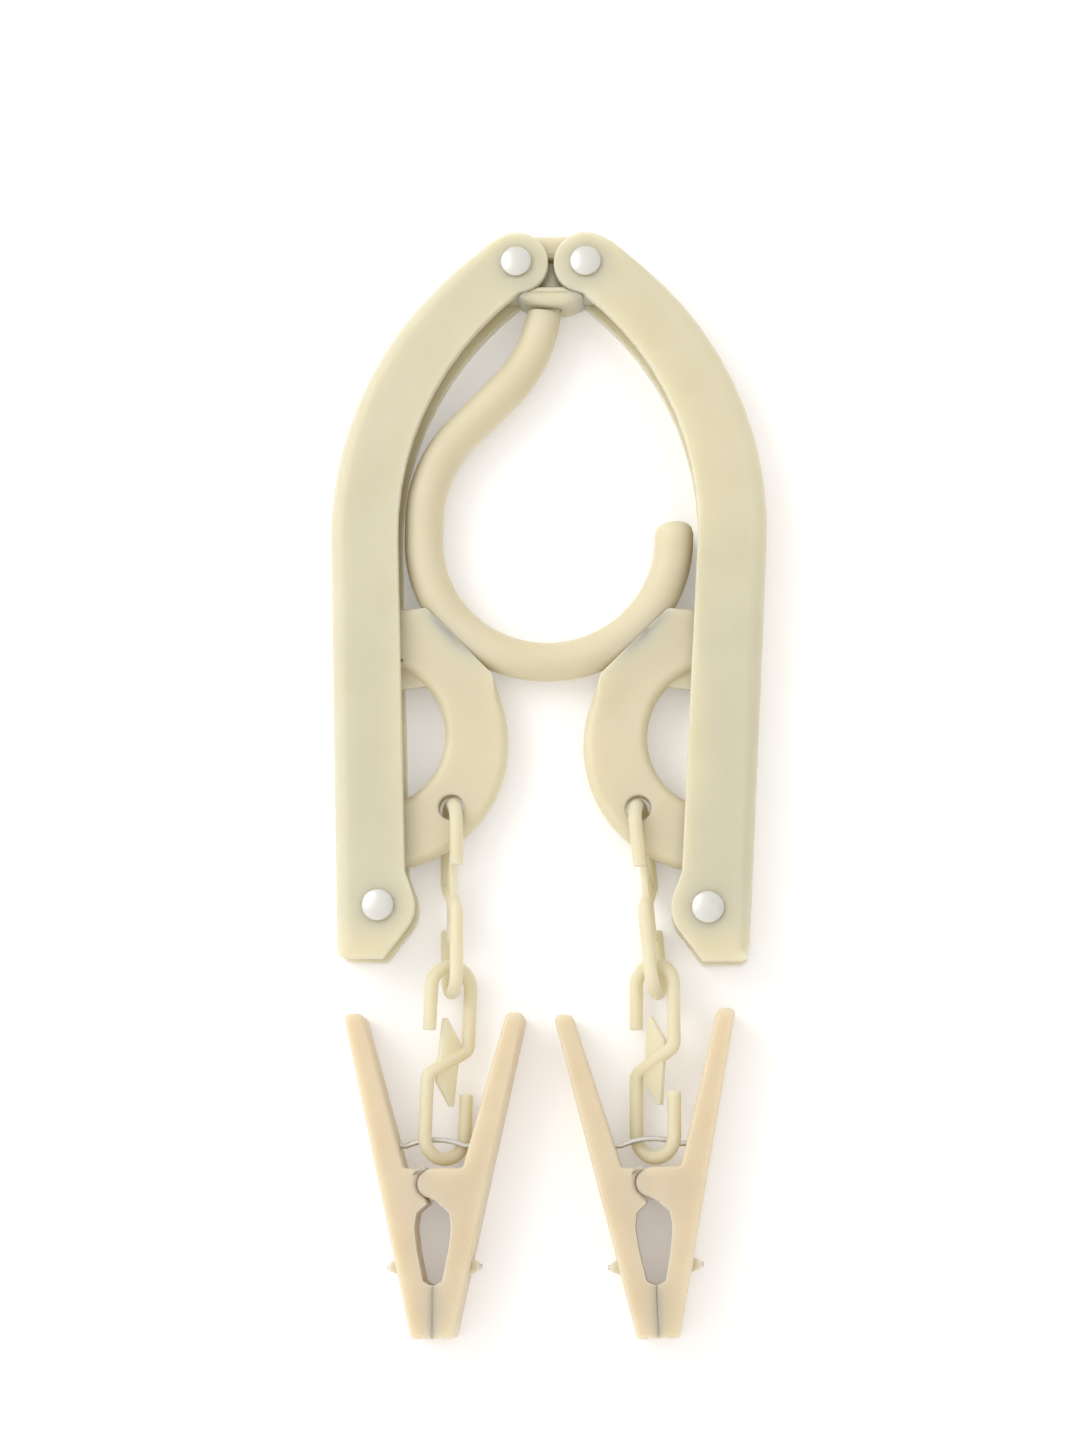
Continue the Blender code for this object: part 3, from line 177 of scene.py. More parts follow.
softbox = bpy.data.lights.new("softbox", "AREA")
softbox.shape = "DISK"
softbox.size = 0.7
softbox.energy = 3.2
softbox.color = (1.0, 0.99, 0.96)
lamp = bpy.data.objects.new("softbox", softbox)
lamp.location = Vector((-0.70, 0.42, 0.70))
lamp.rotation_euler = (Vector((0.0, 0.0, 0.0)) - lamp.location).to_track_quat("-Z", "Y").to_euler()
bpy.context.collection.objects.link(lamp)

# The hub
# A moulded polypropylene block that joins the arms: two ears inside the arms' walls and a crowned collar
# below them. It comes out of a spark-eroded mould, which leaves a fine satin, and both ears are riveted in.


def moulded_plastic(name, colour, deep_colour, wear_and_highlight_colour, grain):
    """Satin moulded plastic; grain is the width of the mould's texture, in metres.

    The mould's texture is drawn two to three times as coarse as the real one, so that it shows.
    """
    material, tree = new_material(name)
    place = add(tree, "ShaderNodeTexCoord")
    shape = add(tree, "ShaderNodeNewGeometry")
    # Slow drifts of colour, as where the melt ran thick or thin
    flow = noise(tree, place, 36.0 * grain, 2.0)
    drift = add(
        tree, "ShaderNodeMapRange", {"From Min": 0.3, "From Max": 0.7}, {"Value": flow.outputs["Fac"]}
    )
    body = add(tree, "ShaderNodeMix", {"data_type": "RGBA"}, {"Factor": drift.outputs[0]})
    body.inputs[6].default_value = linear(colour)
    body.inputs[7].default_value = linear(deep_colour)
    # Rounded edges are paler and a little smoother: partly wear, where hands have polished them, and partly a
    # painted highlight along the edge rounds
    round_edge = add(tree, "ShaderNodeBevel", {"Radius": 0.30 * millimetre, "samples": 6})
    same_way = add(
        tree,
        "ShaderNodeVectorMath",
        {"operation": "DOT_PRODUCT"},
        {0: round_edge.outputs[0], 1: shape.outputs["Normal"]},
    )
    edge = add(
        tree,
        "ShaderNodeMapRange",
        {"From Min": 0.995, "From Max": 0.86},
        {"Value": same_way.outputs["Value"]},
    )
    patches = noise(tree, place, 9.0 * grain, 3.0)
    uneven = add(
        tree, "ShaderNodeMapRange", {"To Min": 0.45, "To Max": 1.0}, {"Value": patches.outputs["Fac"]}
    )
    wear_and_highlight_mask = add(
        tree, "ShaderNodeMath", {"operation": "MULTIPLY"}, {0: edge.outputs[0], 1: uneven.outputs[0]}
    )
    finish = add(
        tree, "ShaderNodeMix", {"data_type": "RGBA"}, {"Factor": wear_and_highlight_mask.outputs[0], 6: body.outputs[2]}
    )
    finish.inputs[7].default_value = linear(wear_and_highlight_colour)
    # The spark-eroded satin, finer and coarser pits together
    satin = noise(tree, place, grain, 4.0, Roughness=0.6)
    pits = add(
        tree, "ShaderNodeBump", {"Strength": 0.16, "Distance": grain / 7.0}, {"Height": satin.outputs["Fac"]}
    )
    sink = add(
        tree,
        "ShaderNodeBump",
        {"Strength": 0.10, "Distance": 0.10 * millimetre},
        {"Height": patches.outputs["Fac"], "Normal": pits.outputs[0]},
    )
    dull = add(tree, "ShaderNodeMapRange", {"To Min": 0.42, "To Max": 0.56}, {"Value": satin.outputs["Fac"]})
    polish = add(
        tree,
        "ShaderNodeMath",
        {"operation": "MULTIPLY_ADD", 1: -0.12},
        {0: wear_and_highlight_mask.outputs[0], 2: dull.outputs[0]},
    )
    shader = add(
        tree,
        "ShaderNodeBsdfPrincipled",
        {
            "IOR": 1.49,
            "Subsurface Weight": 0.85,
            "Subsurface Radius": (1.0, 0.88, 0.66),
            "Subsurface Scale": 6.0 * millimetre,
            "Sheen Weight": 0.04,
            "Sheen Roughness": 0.5,
        },
        {
            "Base Color": finish.outputs[2],
            "Roughness": polish.outputs[0],
            "Normal": sink.outputs[0],
        },
    )
    add(tree, "ShaderNodeOutputMaterial", links={"Surface": shader.outputs[0]})
    return material


# Cream polypropylene: a warm ivory, satin, with faint paler edges that are partly rubbed wear and partly a
# painted edge highlight.
cream = moulded_plastic("moulded_cream_polypropylene", "#d9d0b5", "#d4cbaf", "#f1e9d2", 0.30 * millimetre)


def flat(x, y):
    """A point of the hanger's plane, given in millimetres from the middle of the shoulder line."""
    return Vector((x * millimetre, y * millimetre + shoulder_y, 0.0))


def slab(outline, low, high):
    """An outline raised between two heights."""
    shape = bmesh.new()
    face = shape.faces.new([shape.verts.new((p.x, p.y, low)) for p in outline])
    raised = bmesh.ops.extrude_face_region(shape, geom=[face])
    top = [v for v in raised["geom"] if isinstance(v, bmesh.types.BMVert)]
    bmesh.ops.translate(shape, verts=top, vec=(0.0, 0.0, high - low))
    bmesh.ops.recalc_face_normals(shape, faces=shape.faces)
    return shape


def reshaped(piece, steps):
    """Adds shapes to a piece, or takes them out of it, and keeps the result as a plain mesh."""
    helpers = []
    for number, (operation, shape) in enumerate(steps):
        mesh = bpy.data.meshes.new(f"{piece.name}_step_{number}")
        shape.to_mesh(mesh)
        shape.free()
        helper = bpy.data.objects.new(mesh.name, mesh)
        bpy.context.collection.objects.link(helper)
        helpers.append(helper)
        step = piece.modifiers.new(mesh.name, "BOOLEAN")
        step.operation = operation
        step.solver = "EXACT"
        step.object = helper
    graph = bpy.context.evaluated_depsgraph_get()
    whole = bpy.data.meshes.new_from_object(piece.evaluated_get(graph), depsgraph=graph)
    piece.modifiers.clear()
    piece.data = whole
    for helper in helpers:
        bpy.data.objects.remove(helper, do_unlink=True)
    whole.shade_smooth()


def cleaned(mesh, angle=0.4):
    """Merges the corners that a mesh shares, and takes out the flat seams between its facets."""
    shape = bmesh.new()
    shape.from_mesh(mesh)
    bmesh.ops.remove_doubles(shape, verts=shape.verts, dist=0.002 * millimetre)
    if angle > 0.0:
        bmesh.ops.dissolve_degenerate(shape, dist=0.001 * millimetre, edges=shape.edges)
        bmesh.ops.dissolve_limit(shape, angle_limit=math.radians(angle), verts=shape.verts, edges=shape.edges)
    shape.to_mesh(mesh)
    shape.free()


def finished(piece, node, body, material, edge):
    """Gives every edge of a moulded piece its small round, and the piece its material and its body."""
    piece.data.materials.clear()
    piece.data.materials.append(material)
    piece.data.shade_smooth()
    rounding = piece.modifiers.new("moulded_edge", "BEVEL")
    rounding.width = edge
    rounding.segments = 3
    rounding.limit_method = "ANGLE"
    rounding.angle_limit = math.radians(50.0)
    rounding.harden_normals = True
    weight = piece.modifiers.new("even_shading", "WEIGHTED_NORMAL")
    weight.keep_sharp = False
    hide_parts(node)
    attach(piece, body)


def moulding(node, body, material, edge, steps=()):
    """A moulded piece with its CAD shape, changed by the given steps."""
    mesh = nodes[node].data.copy()
    mesh.name = node + "_moulding"
    cleaned(mesh, 0.0)
    piece = bpy.data.objects.new(node + "_moulding", mesh)
    bpy.context.collection.objects.link(piece)
    if steps:
        reshaped(piece, steps)
    cleaned(piece.data)
    finished(piece, node, body, material, edge)
    return piece


edge_round = 0.12 * millimetre
ear_inset = 2.2 * millimetre
arm_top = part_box("left_arm")[1][2]
window_low = 1.6
window_high = 3.4
window_side = 3.05
window_corners = [flat(-window_side, window_low), flat(window_side, window_low)]
window_corners += [flat(window_side, window_high), flat(-window_side, window_high)]
window_fill = slab(window_corners, ear_inset, arm_top - ear_inset)
moulding("hub", "hub", cream, edge_round, [("UNION", window_fill)])

# The hook
# One moulded rod: down out of the collar, across in a double bend, and round an open ring to a blunt tip.
# It swivels in the hub on a spigot with a button head, which shows in the hub's window.


def named_inputs(name, sizes):
    """A Geometry Nodes tree with one named input for each size, and a material."""
    tree = bpy.data.node_groups.new(name, "GeometryNodeTree")
    tree.interface.new_socket("Path", in_out="INPUT", socket_type="NodeSocketGeometry")
    for label, value in sizes.items():
        kind = "NodeSocketInt" if isinstance(value, int) else "NodeSocketFloat"
        tree.interface.new_socket(label, in_out="INPUT", socket_type=kind).default_value = value
    tree.interface.new_socket("Material", in_out="INPUT", socket_type="NodeSocketMaterial")
    tree.interface.new_socket("Piece", in_out="OUTPUT", socket_type="NodeSocketGeometry")
    return tree, add(tree, "NodeGroupInput"), add(tree, "NodeGroupOutput")


def grown(name, points, tree, sizes, material):
    """Runs a tree on a line of points, and keeps the result as a plain mesh."""
    line = bpy.data.meshes.new(name)
    joins = [(i, i + 1) for i in range(len(points) - 1)]
    line.from_pydata([tuple(p) for p in points], joins, [])
    piece = bpy.data.objects.new(name, line)
    bpy.context.collection.objects.link(piece)
    step = piece.modifiers.new(tree.name, "NODES")
    step.node_group = tree
    values = dict(sizes, Material=material)
    for socket in tree.interface.items_tree:
        if socket.in_out == "INPUT" and socket.name in values:
            step[socket.identifier] = values[socket.name]
    graph = bpy.context.evaluated_depsgraph_get()
    mesh = bpy.data.meshes.new_from_object(piece.evaluated_get(graph), depsgraph=graph)
    piece.modifiers.clear()
    piece.data = mesh
    mesh.name = name
    mesh.shade_smooth()
    return piece


def delivered(tree, geometry, given, result):
    """Ends a tree: its instances are made real and given their material."""
    real = add(tree, "GeometryNodeRealizeInstances", links={"Geometry": geometry})
    dressed = add(
        tree,
        "GeometryNodeSetMaterial",
        links={"Geometry": real.outputs[0], "Material": given.outputs["Material"]},
    )
    tree.links.new(dressed.outputs[0], result.inputs[0])


# A round rod along a path. It may start thinner than it goes on, and both its ends are rounded over.
rod_sizes = {"Rod radius": 0.0034, "Start radius": 0.0034, "Taper length": 0.001, "Start round": 0.0004}
rod_sizes.update({"End round": 0.0004, "Rounds": 32})
round_rod, given, result = named_inputs("round_rod", rod_sizes)
curve = add(round_rod, "GeometryNodeMeshToCurve", links={"Mesh": given.outputs["Path"]})
along = add(round_rod, "GeometryNodeSplineParameter")
total = add(round_rod, "GeometryNodeSplineLength")
share = add(
    round_rod,
    "ShaderNodeMapRange",
    {"From Min": 0.0},
    {
        "Value": along.outputs["Length"],
        "From Max": given.outputs["Taper length"],
        "To Min": given.outputs["Start radius"],
        "To Max": given.outputs["Rod radius"],
    },
)
left_over = add(
    round_rod,
    "ShaderNodeMath",
    {"operation": "SUBTRACT"},
    {0: total.outputs["Length"], 1: along.outputs["Length"]},
)


def rounded_over(tree, distance, reach, radius):
    """Lowers a rod's radius by a quarter circle of the given reach next to its end."""
    near = add(
        tree, "ShaderNodeMapRange", {"To Min": 1.0, "To Max": 0.0}, {"Value": distance, "From Max": reach}
    )
    square = add(tree, "ShaderNodeMath", {"operation": "MULTIPLY"}, {0: near.outputs[0], 1: near.outputs[0]})
    rest = add(tree, "ShaderNodeMath", {"operation": "SUBTRACT", 0: 1.0}, {1: square.outputs[0]})
    rise = add(tree, "ShaderNodeMath", {"operation": "SQRT"}, {0: rest.outputs[0]})
    fall = add(tree, "ShaderNodeMath", {"operation": "SUBTRACT", 0: 1.0}, {1: rise.outputs[0]})
    loss = add(tree, "ShaderNodeMath", {"operation": "MULTIPLY"}, {0: fall.outputs[0], 1: reach})
    return add(tree, "ShaderNodeMath", {"operation": "SUBTRACT"}, {0: radius, 1: loss.outputs[0]}).outputs[0]


radius = rounded_over(round_rod, left_over.outputs[0], given.outputs["End round"], share.outputs[0])
radius = rounded_over(round_rod, along.outputs["Length"], given.outputs["Start round"], radius)
section = add(
    round_rod,
    "GeometryNodeCurvePrimitiveCircle",
    {"Radius": 1.0},
    {"Resolution": given.outputs["Rounds"]},
)
swept = add(
    round_rod,
    "GeometryNodeCurveToMesh",
    {"Fill Caps": True},
    {"Curve": curve.outputs[0], "Profile Curve": section.outputs[0], "Scale": radius},
)
delivered(round_rod, swept.outputs[0], given, result)


def arc(centre, radius, start, end, step):
    """Points round a circle in the hanger's plane, from one angle to another, in radians."""
    count = max(1, math.ceil(abs(end - start) * radius / step))
    points = []
    for i in range(count + 1):
        angle = start + (end - start) * i / count
        points.append(centre + Vector((math.cos(angle), math.sin(angle), 0.0)) * radius)
    return points


def rounded(corner, before, after, radius, step):
    """The round stretch that replaces a corner between two straight runs."""
    towards_before = (before - corner).normalized()
    towards_after = (after - corner).normalized()
    half = towards_before.angle(towards_after) / 2.0
    centre = corner + (towards_before + towards_after).normalized() * (radius / math.sin(half))
    first = corner + towards_before * (radius / math.tan(half)) - centre
    last = corner + towards_after * (radius / math.tan(half)) - centre
    start = math.atan2(first.y, first.x)
    sweep = math.remainder(math.atan2(last.y, last.x) - start, math.tau)
    return arc(centre, radius, start, start + sweep, step)


def with_close_ends(points, start_round, end_round):
    """Adds points near both ends of a path, where the rod rounds over."""
    first = (points[0] - points[1]).normalized()
    last = (points[-1] - points[-2]).normalized()
    shares = [1.0 - math.cos(math.radians(angle)) for angle in (12.0, 28.0, 45.0, 65.0, 90.0)]
    opening = [points[0] - first * (start_round * share) for share in shares]
    closing = [points[-1] - last * (end_round * share) for share in reversed(shares)]
    inner = [
        p
        for p in points[1:-1]
        if (p - opening[-1]).dot(first) < 0.0 or (p - points[0]).length > start_round * 2.0
    ]
    inner = [p for p in inner if (p - points[-1]).length > end_round * 1.05]
    return [points[0], *opening, *inner, *closing, points[-1]]


neck_drop = 8.5 * millimetre
neck_reach = 0.42 * millimetre
neck_offset = 1.37 * millimetre
stem_radius = 25.36 * millimetre
side_radius = 23.1 * millimetre
side_drop = 46.0 * millimetre
straight_run = 10.3 * millimetre
ring_radius = 21.9 * millimetre
ring_drop = 49.6 * millimetre
tip_rise = 2.9 * millimetre
path_step = 0.8 * millimetre
low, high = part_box("hook")
hook_z = (low[2] + high[2]) / 2.0

neck = Vector((-neck_offset, shoulder_y - neck_drop, hook_z))
side_centre = Vector((side_radius - ring_radius, shoulder_y - side_drop, hook_z))
bends_apart = math.hypot(stem_radius + side_radius, straight_run)
line = neck - side_centre
reach = (bends_apart**2 - stem_radius**2 + line.length_squared) / (2.0 * line.length)
direction = line.normalized()
across = Vector((-direction.y, direction.x, 0.0)) * math.sqrt(bends_apart**2 - reach**2)
stem_centre = side_centre + direction * reach + across
to_side_bend = side_centre - stem_centre
leave = math.atan2(to_side_bend.y, to_side_bend.x) + math.atan2(straight_run, stem_radius + side_radius)
from_neck = neck - stem_centre
hook_path = arc(stem_centre, stem_radius, math.atan2(from_neck.y, from_neck.x), leave, path_step)
hook_path += arc(side_centre, side_radius, leave + math.pi, math.pi, path_step)
ring_centre = Vector((0.0, shoulder_y - ring_drop, hook_z))
tip_angle = math.tau + math.asin(tip_rise / ring_radius)
hook_path += arc(ring_centre, ring_radius, math.pi, tip_angle, path_step)[1:]
hook_path.insert(0, hook_path[0] + (hook_path[0] - hook_path[1]).normalized() * neck_reach)

hook_sizes = {
    "Rod radius": 3.4 * millimetre,
    "Start radius": 3.05 * millimetre,
    "Taper length": 15.0 * millimetre,
    "Start round": 0.35 * millimetre,
    "End round": 2.0 * millimetre,
    "Rounds": 40,
}
hook_path = with_close_ends(hook_path, hook_sizes["Start round"], hook_sizes["End round"])
hook = grown("hook_rod", hook_path, round_rod, hook_sizes, cream)


def turned(profile, centre, axis, rounds):
    """A closed profile of (radius, height) pairs turned round an axis through a centre."""
    shape = bmesh.new()
    stand = Vector((0.0, 0.0, 1.0)).rotation_difference(axis).to_matrix()
    rings = []
    for radius, height in profile:
        count = rounds if radius > 0.0 else 1
        angles = [math.tau * i / count for i in range(count)]
        spots = [Vector((radius * math.cos(a), radius * math.sin(a), height)) for a in angles]
        rings.append([shape.verts.new(centre + stand @ spot) for spot in spots])
    for first, second in zip(rings, rings[1:]):
        for i in range(rounds):
            j = (i + 1) % rounds
            corners = [first[i % len(first)], second[i % len(second)]]
            corners += [second[j % len(second)], first[j % len(first)]]
            shape.faces.new(list(dict.fromkeys(corners)))
    bmesh.ops.recalc_face_normals(shape, faces=shape.faces)
    return shape


spigot_radius = 1.6 * millimetre
spigot_sink = 0.7 * millimetre
button_low = -4.2 * millimetre
# The head and the plug above it: radius and height above the head's underside, in millimetres
button_steps = ((2.35, 0.0), (2.5, 0.15), (2.5, 0.8), (2.35, 1.2))
button_steps += ((1.75, 4.9), (1.6, 5.1), (1.4, 5.2), (0.0, 5.2))
button_profile = [(0.0, -neck_drop - spigot_sink), (spigot_radius, -neck_drop - spigot_sink)]
button_profile.append((spigot_radius, button_low))
button_profile += [(radius * millimetre, button_low + rise * millimetre) for radius, rise in button_steps]
button = turned(button_profile, Vector((0.0, shoulder_y, hook_z)), Vector((0.0, 1.0, 0.0)), 32)
reshaped(hook, [("UNION", button)])
crease = math.radians(38.0)
hook.data.set_sharp_from_angle(angle=crease)
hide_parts("hook")
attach(hook, "hook")

# The arms
# Two long curved channels of the same polypropylene: an outer web and two walls, open towards the hook,
# with a rolled outer edge. Each has a round eye at the hub and a lobe with a cut-off foot at its elbow.

for side in sides:
    moulding(side + "_arm", side + "_arm", cream, edge_round)

# The rivets and their washers
# Domed steel rivets, nickel plated. Each goes through both walls of an arm, and its hollow tail is rolled
# over a washer sunk in the arm's back. The plate is bright but not a mirror: handling has dulled it.


def plated_metal(name, colour, worn_colour, low_gloss, high_gloss, grain):
    """Bright plate with fine tumbling marks, a little duller in patches."""
    material, tree = new_material(name)
    place = add(tree, "ShaderNodeTexCoord")
    marks = noise(tree, place, grain, 4.0)
    patches = noise(tree, place, 10.0 * grain, 2.0)
    tone = add(tree, "ShaderNodeMix", {"data_type": "RGBA"}, {"Factor": patches.outputs["Fac"]})
    tone.inputs[6].default_value = linear(colour)
    tone.inputs[7].default_value = linear(worn_colour)
    gloss = add(
        tree,
        "ShaderNodeMapRange",
        {"From Min": 0.3, "From Max": 0.7, "To Min": low_gloss, "To Max": high_gloss},
        {"Value": patches.outputs["Fac"]},
    )
    scuffs = add(
        tree, "ShaderNodeBump", {"Strength": 0.12, "Distance": grain / 12.0}, {"Height": marks.outputs["Fac"]}
    )
    shader = add(
        tree,
        "ShaderNodeBsdfPrincipled",
        {"Metallic": 1.0},
        {"Base Color": tone.outputs[2], "Roughness": gloss.outputs[0], "Normal": scuffs.outputs[0]},
    )
    add(tree, "ShaderNodeOutputMaterial", links={"Surface": shader.outputs[0]})
    return material


# Nickel plate: a warm white metal, bright, softened by wear.
nickel = plated_metal("worn_nickel_plate", "#e9e7e2", "#dedbd4", 0.28, 0.40, 0.12 * millimetre)

# One rivet, turned from its half section, stood at each of the two places on an arm
rivet_sizes = {"Rounds": 48}
riveting, given, result = named_inputs("rivets_on_an_arm", rivet_sizes)
riveting.interface.new_socket("Half section", in_out="INPUT", socket_type="NodeSocketObject")
half_section = add(
    riveting,
    "GeometryNodeObjectInfo",
    {"transform_space": "ORIGINAL"},
    {"Object": given.outputs["Half section"]},
)
outline = add(riveting, "GeometryNodeMeshToCurve", links={"Mesh": half_section.outputs["Geometry"]})
lathe = add(
    riveting,
    "GeometryNodeCurvePrimitiveCircle",
    {"Radius": 0.001 * millimetre},
    {"Resolution": given.outputs["Rounds"]},
)
level = add(riveting, "GeometryNodeSetCurveNormal", {"mode": "Z_UP"}, {"Curve": lathe.outputs[0]})
spun = add(
    riveting,
    "GeometryNodeCurveToMesh",
    links={"Curve": level.outputs[0], "Profile Curve": outline.outputs[0]},
)
merged = add(
    riveting, "GeometryNodeMergeByDistance", {"Distance": 0.004 * millimetre}, {"Geometry": spun.outputs[0]}
)
stood = add(
    riveting,
    "GeometryNodeInstanceOnPoints",
    links={"Points": given.outputs["Path"], "Instance": merged.outputs[0]},
)
delivered(riveting, stood.outputs[0], given, result)

low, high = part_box("left_shoulder_rivet")
head_top = high[2]
head_low = head_top - 1.0 * millimetre
head_radius = (high[0] - low[0]) / 2.0
rim = 0.22 * millimetre
rim_cut = rim * 0.3
shank_radius = 1.3 * millimetre
tail_height = 0.5 * millimetre
tail_middle = 1.35 * millimetre
tail_roll = 0.65 * millimetre
tail_hollow = 2.0 * millimetre
dome_steps = 16
roll_steps = 10
rivet_profile = []
for i in range(dome_steps + 1):
    angle = math.pi / 2.0 * i / dome_steps
    height = head_low + rim + (head_top - head_low - rim) * math.cos(angle)
    rivet_profile.append((head_radius * math.sin(angle), height))
rivet_profile += [(head_radius, head_low + rim_cut), (head_radius - rim_cut, head_low)]
rivet_profile += [(shank_radius, head_low), (shank_radius, tail_height)]
for i in range(roll_steps + 1):
    angle = math.pi * i / roll_steps
    rivet_profile.append((tail_middle + tail_roll * math.cos(angle), tail_height * (1.0 - math.sin(angle))))
rivet_profile += [(tail_middle - tail_roll, tail_hollow), (0.0, tail_hollow)]
half_line = bpy.data.meshes.new("rivet_half_section")
half_line.from_pydata(
    [(radius, -height, 0.0) for radius, height in rivet_profile],
    [(i, i + 1) for i in range(len(rivet_profile) - 1)],
    [],
)
half_object = bpy.data.objects.new("rivet_half_section", half_line)
bpy.context.collection.objects.link(half_object)
for side in sides:
    places = []
    for joint in ("shoulder", "elbow"):
        low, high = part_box(f"{side}_{joint}_rivet")
        places.append(Vector(((low[0] + high[0]) / 2.0, (low[1] + high[1]) / 2.0, 0.0)))
        moulding(f"{side}_{joint}_washer", side + "_arm", nickel, 0.04 * millimetre)
    given_values = dict(rivet_sizes)
    given_values["Half section"] = half_object
    rivets = grown(side + "_rivets", places, riveting, given_values, nickel)
    shape = bmesh.new()
    shape.from_mesh(rivets.data)
    bmesh.ops.recalc_face_normals(shape, faces=shape.faces)
    shape.to_mesh(rivets.data)
    shape.free()
    rivets.data.shade_smooth()
    rivets.data.set_sharp_from_angle(angle=math.radians(50.0))
    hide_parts(side + "_shoulder_rivet", side + "_elbow_rivet")
    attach(rivets, side + "_arm")
bpy.data.objects.remove(half_object, do_unlink=True)

# The forearms
# Moulded bars that fold into the arms' channels and turn on the elbow rivets. Each has a crescent guide that
# swells towards the hook and lies against its rod, with a window, a gusset and a hole for its chain.

joint_places = {joint["name"]: Vector(joint["pos_m"]) for joint in frame["joints"]}
elbow = joint_places["right_forearm_fold"]
elbow_x = elbow.x / millimetre
elbow_y = (elbow.y - shoulder_y) / millimetre
lean = math.tan(math.radians(2.5))
wall_before_elbow = 4.607


def wall_edge(y, inside):
    """Where the arm's wall ends at a height, and so much further inside its channel; in millimetres."""
    return elbow_x - wall_before_elbow + (y - elbow_y) * lean + inside


plate_high = hook_z + 2.1 * millimetre
plate_centre = (elbow_x + 0.5, elbow_y + 28.3)
plate_radius = 21.9
window_centre = (elbow_x + 0.6, elbow_y + 29.85)
window_half = (11.0, 12.0)
gusset_low = elbow_y + 37.9
seam_reach = 23.95
seam_out = Vector((math.sqrt(0.5), -math.sqrt(0.5), 0.0))
seam_along = Vector((math.sqrt(0.5), math.sqrt(0.5), 0.0))
seam_point = flat(0.0, -ring_drop / millimetre) + seam_out * seam_reach * millimetre
swell = 0.78 * millimetre
swell_reach = 7.0 * millimetre
rim_round = 1.8 * millimetre
rim_fade = 1.5 * millimetre
seam_steps = 12
face_steps = 9
hole_radius = 2.2 * millimetre
hole_flare = 0.45 * millimetre


# How far a rim has turned in and sunk, as shares of its radius, along a quarter turn
turns = [math.radians(15.0 * i) for i in range(7)]
quarter_turn = [(1.0 - math.cos(t), 1.0 - math.sin(t)) for t in turns]


def plate_outline():
    """The crescent, from its top inside the channel, along the hook, round its back and into the channel."""
    inside_wall = 2.3
    top_y = -62.2
    top_inside_y = -63.9
    low_y = elbow_y + 7.1
    outline_step = 0.4 * millimetre
    seam_end = seam_point - seam_along * 10.9 * millimetre
    seam_rise = (top_y * millimetre + shoulder_y - seam_point.y) / seam_along.y
    shoulder_corner = seam_point + seam_along * seam_rise
    points = [flat(wall_edge(top_inside_y, inside_wall), top_inside_y), flat(wall_edge(top_y, 0.9), top_y)]
    points += rounded(shoulder_corner, points[-1], seam_end, 2.2 * millimetre, outline_step)
    back_start = math.radians(180.0 - 19.5)
    back_end = math.radians(180.0 + 75.5)
    back = arc(flat(*plate_centre), plate_radius * millimetre, back_start, back_end, 0.7 * millimetre)
    below = rounded(seam_end, shoulder_corner, back[0], 2.4 * millimetre, outline_step)
    points += [points[-1].lerp(below[0], i / seam_steps) for i in range(1, seam_steps)]
    points += below + back
    return points + [flat(wall_edge(low_y, inside_wall), low_y)]


def crescent_plate():
    """The crescent round its window, its rims rolled over, swelling towards the hook."""
    shape = bmesh.new()
    half_depth = plate_high - hook_z
    middle = flat(*window_centre)
    rings = []
    for outer in plate_outline():
        ray = (outer - middle).normalized()
        inner_length = 1.0 / math.hypot(ray.x / window_half[0], ray.y / window_half[1]) * millimetre
        width = (outer - middle).length - inner_length
        near_seam = (outer - seam_point).dot(seam_out) / rim_fade
        open_rim = min(1.0, max(0.0, near_seam))
        face = [(open_rim * rim_round * inset, rim_round * sunk) for inset, sunk in quarter_turn]
        run = width - 2.0 * rim_round
        face += [(rim_round + run * i / face_steps, 0.0) for i in range(1, face_steps)]
        face += [(width - rim_round * inset, rim_round * sunk) for inset, sunk in reversed(quarter_turn)]
        ring = []
        for level, stretch in ((1.0, face), (-1.0, list(reversed(face)))):
            for inwards, sunk in stretch:
                spot = outer - ray * inwards
                share = min(1.0, max(0.0, 1.0 - (spot - seam_point).dot(seam_out) / swell_reach))
                ease = share * share * (3.0 - 2.0 * share)
                height = (half_depth - sunk) * (1.0 + ease * swell / half_depth)
                ring.append(shape.verts.new((spot.x, spot.y, hook_z + level * height)))
        rings.append(ring)
    for first, second in zip(rings, rings[1:]):
        for i in range(len(first)):
            j = (i + 1) % len(first)
            shape.faces.new((first[i], second[i], second[j], first[j]))
    shape.faces.new(rings[0])
    shape.faces.new(rings[-1])
    bmesh.ops.triangulate(shape, faces=shape.faces)
    bmesh.ops.recalc_face_normals(shape, faces=shape.faces)
    return shape


below_all = -1.0 * millimetre
above_all = 12.0 * millimetre

# The CAD's crescent is taken off outside the channel, and the rest of its gusset inside it
cut_top = -50.0
cut_low = -112.0
cut_inner = -3.0
cut_gap = 0.3
far_inside = [flat(cut_inner, cut_top), flat(wall_edge(cut_top, cut_gap), cut_top)]
far_inside += [flat(wall_edge(cut_low, cut_gap), cut_low), flat(cut_inner, cut_low)]
crescent_off = slab(far_inside, below_all, above_all)
corner_x = 20.0
bar_side = wall_edge(window_centre[1], 2.9)
corner = [flat(corner_x, gusset_low), flat(corner_x, window_centre[1])]
corner += [flat(bar_side, window_centre[1]), flat(bar_side + 0.3, gusset_low)]
gusset_off = slab(corner, below_all, above_all)

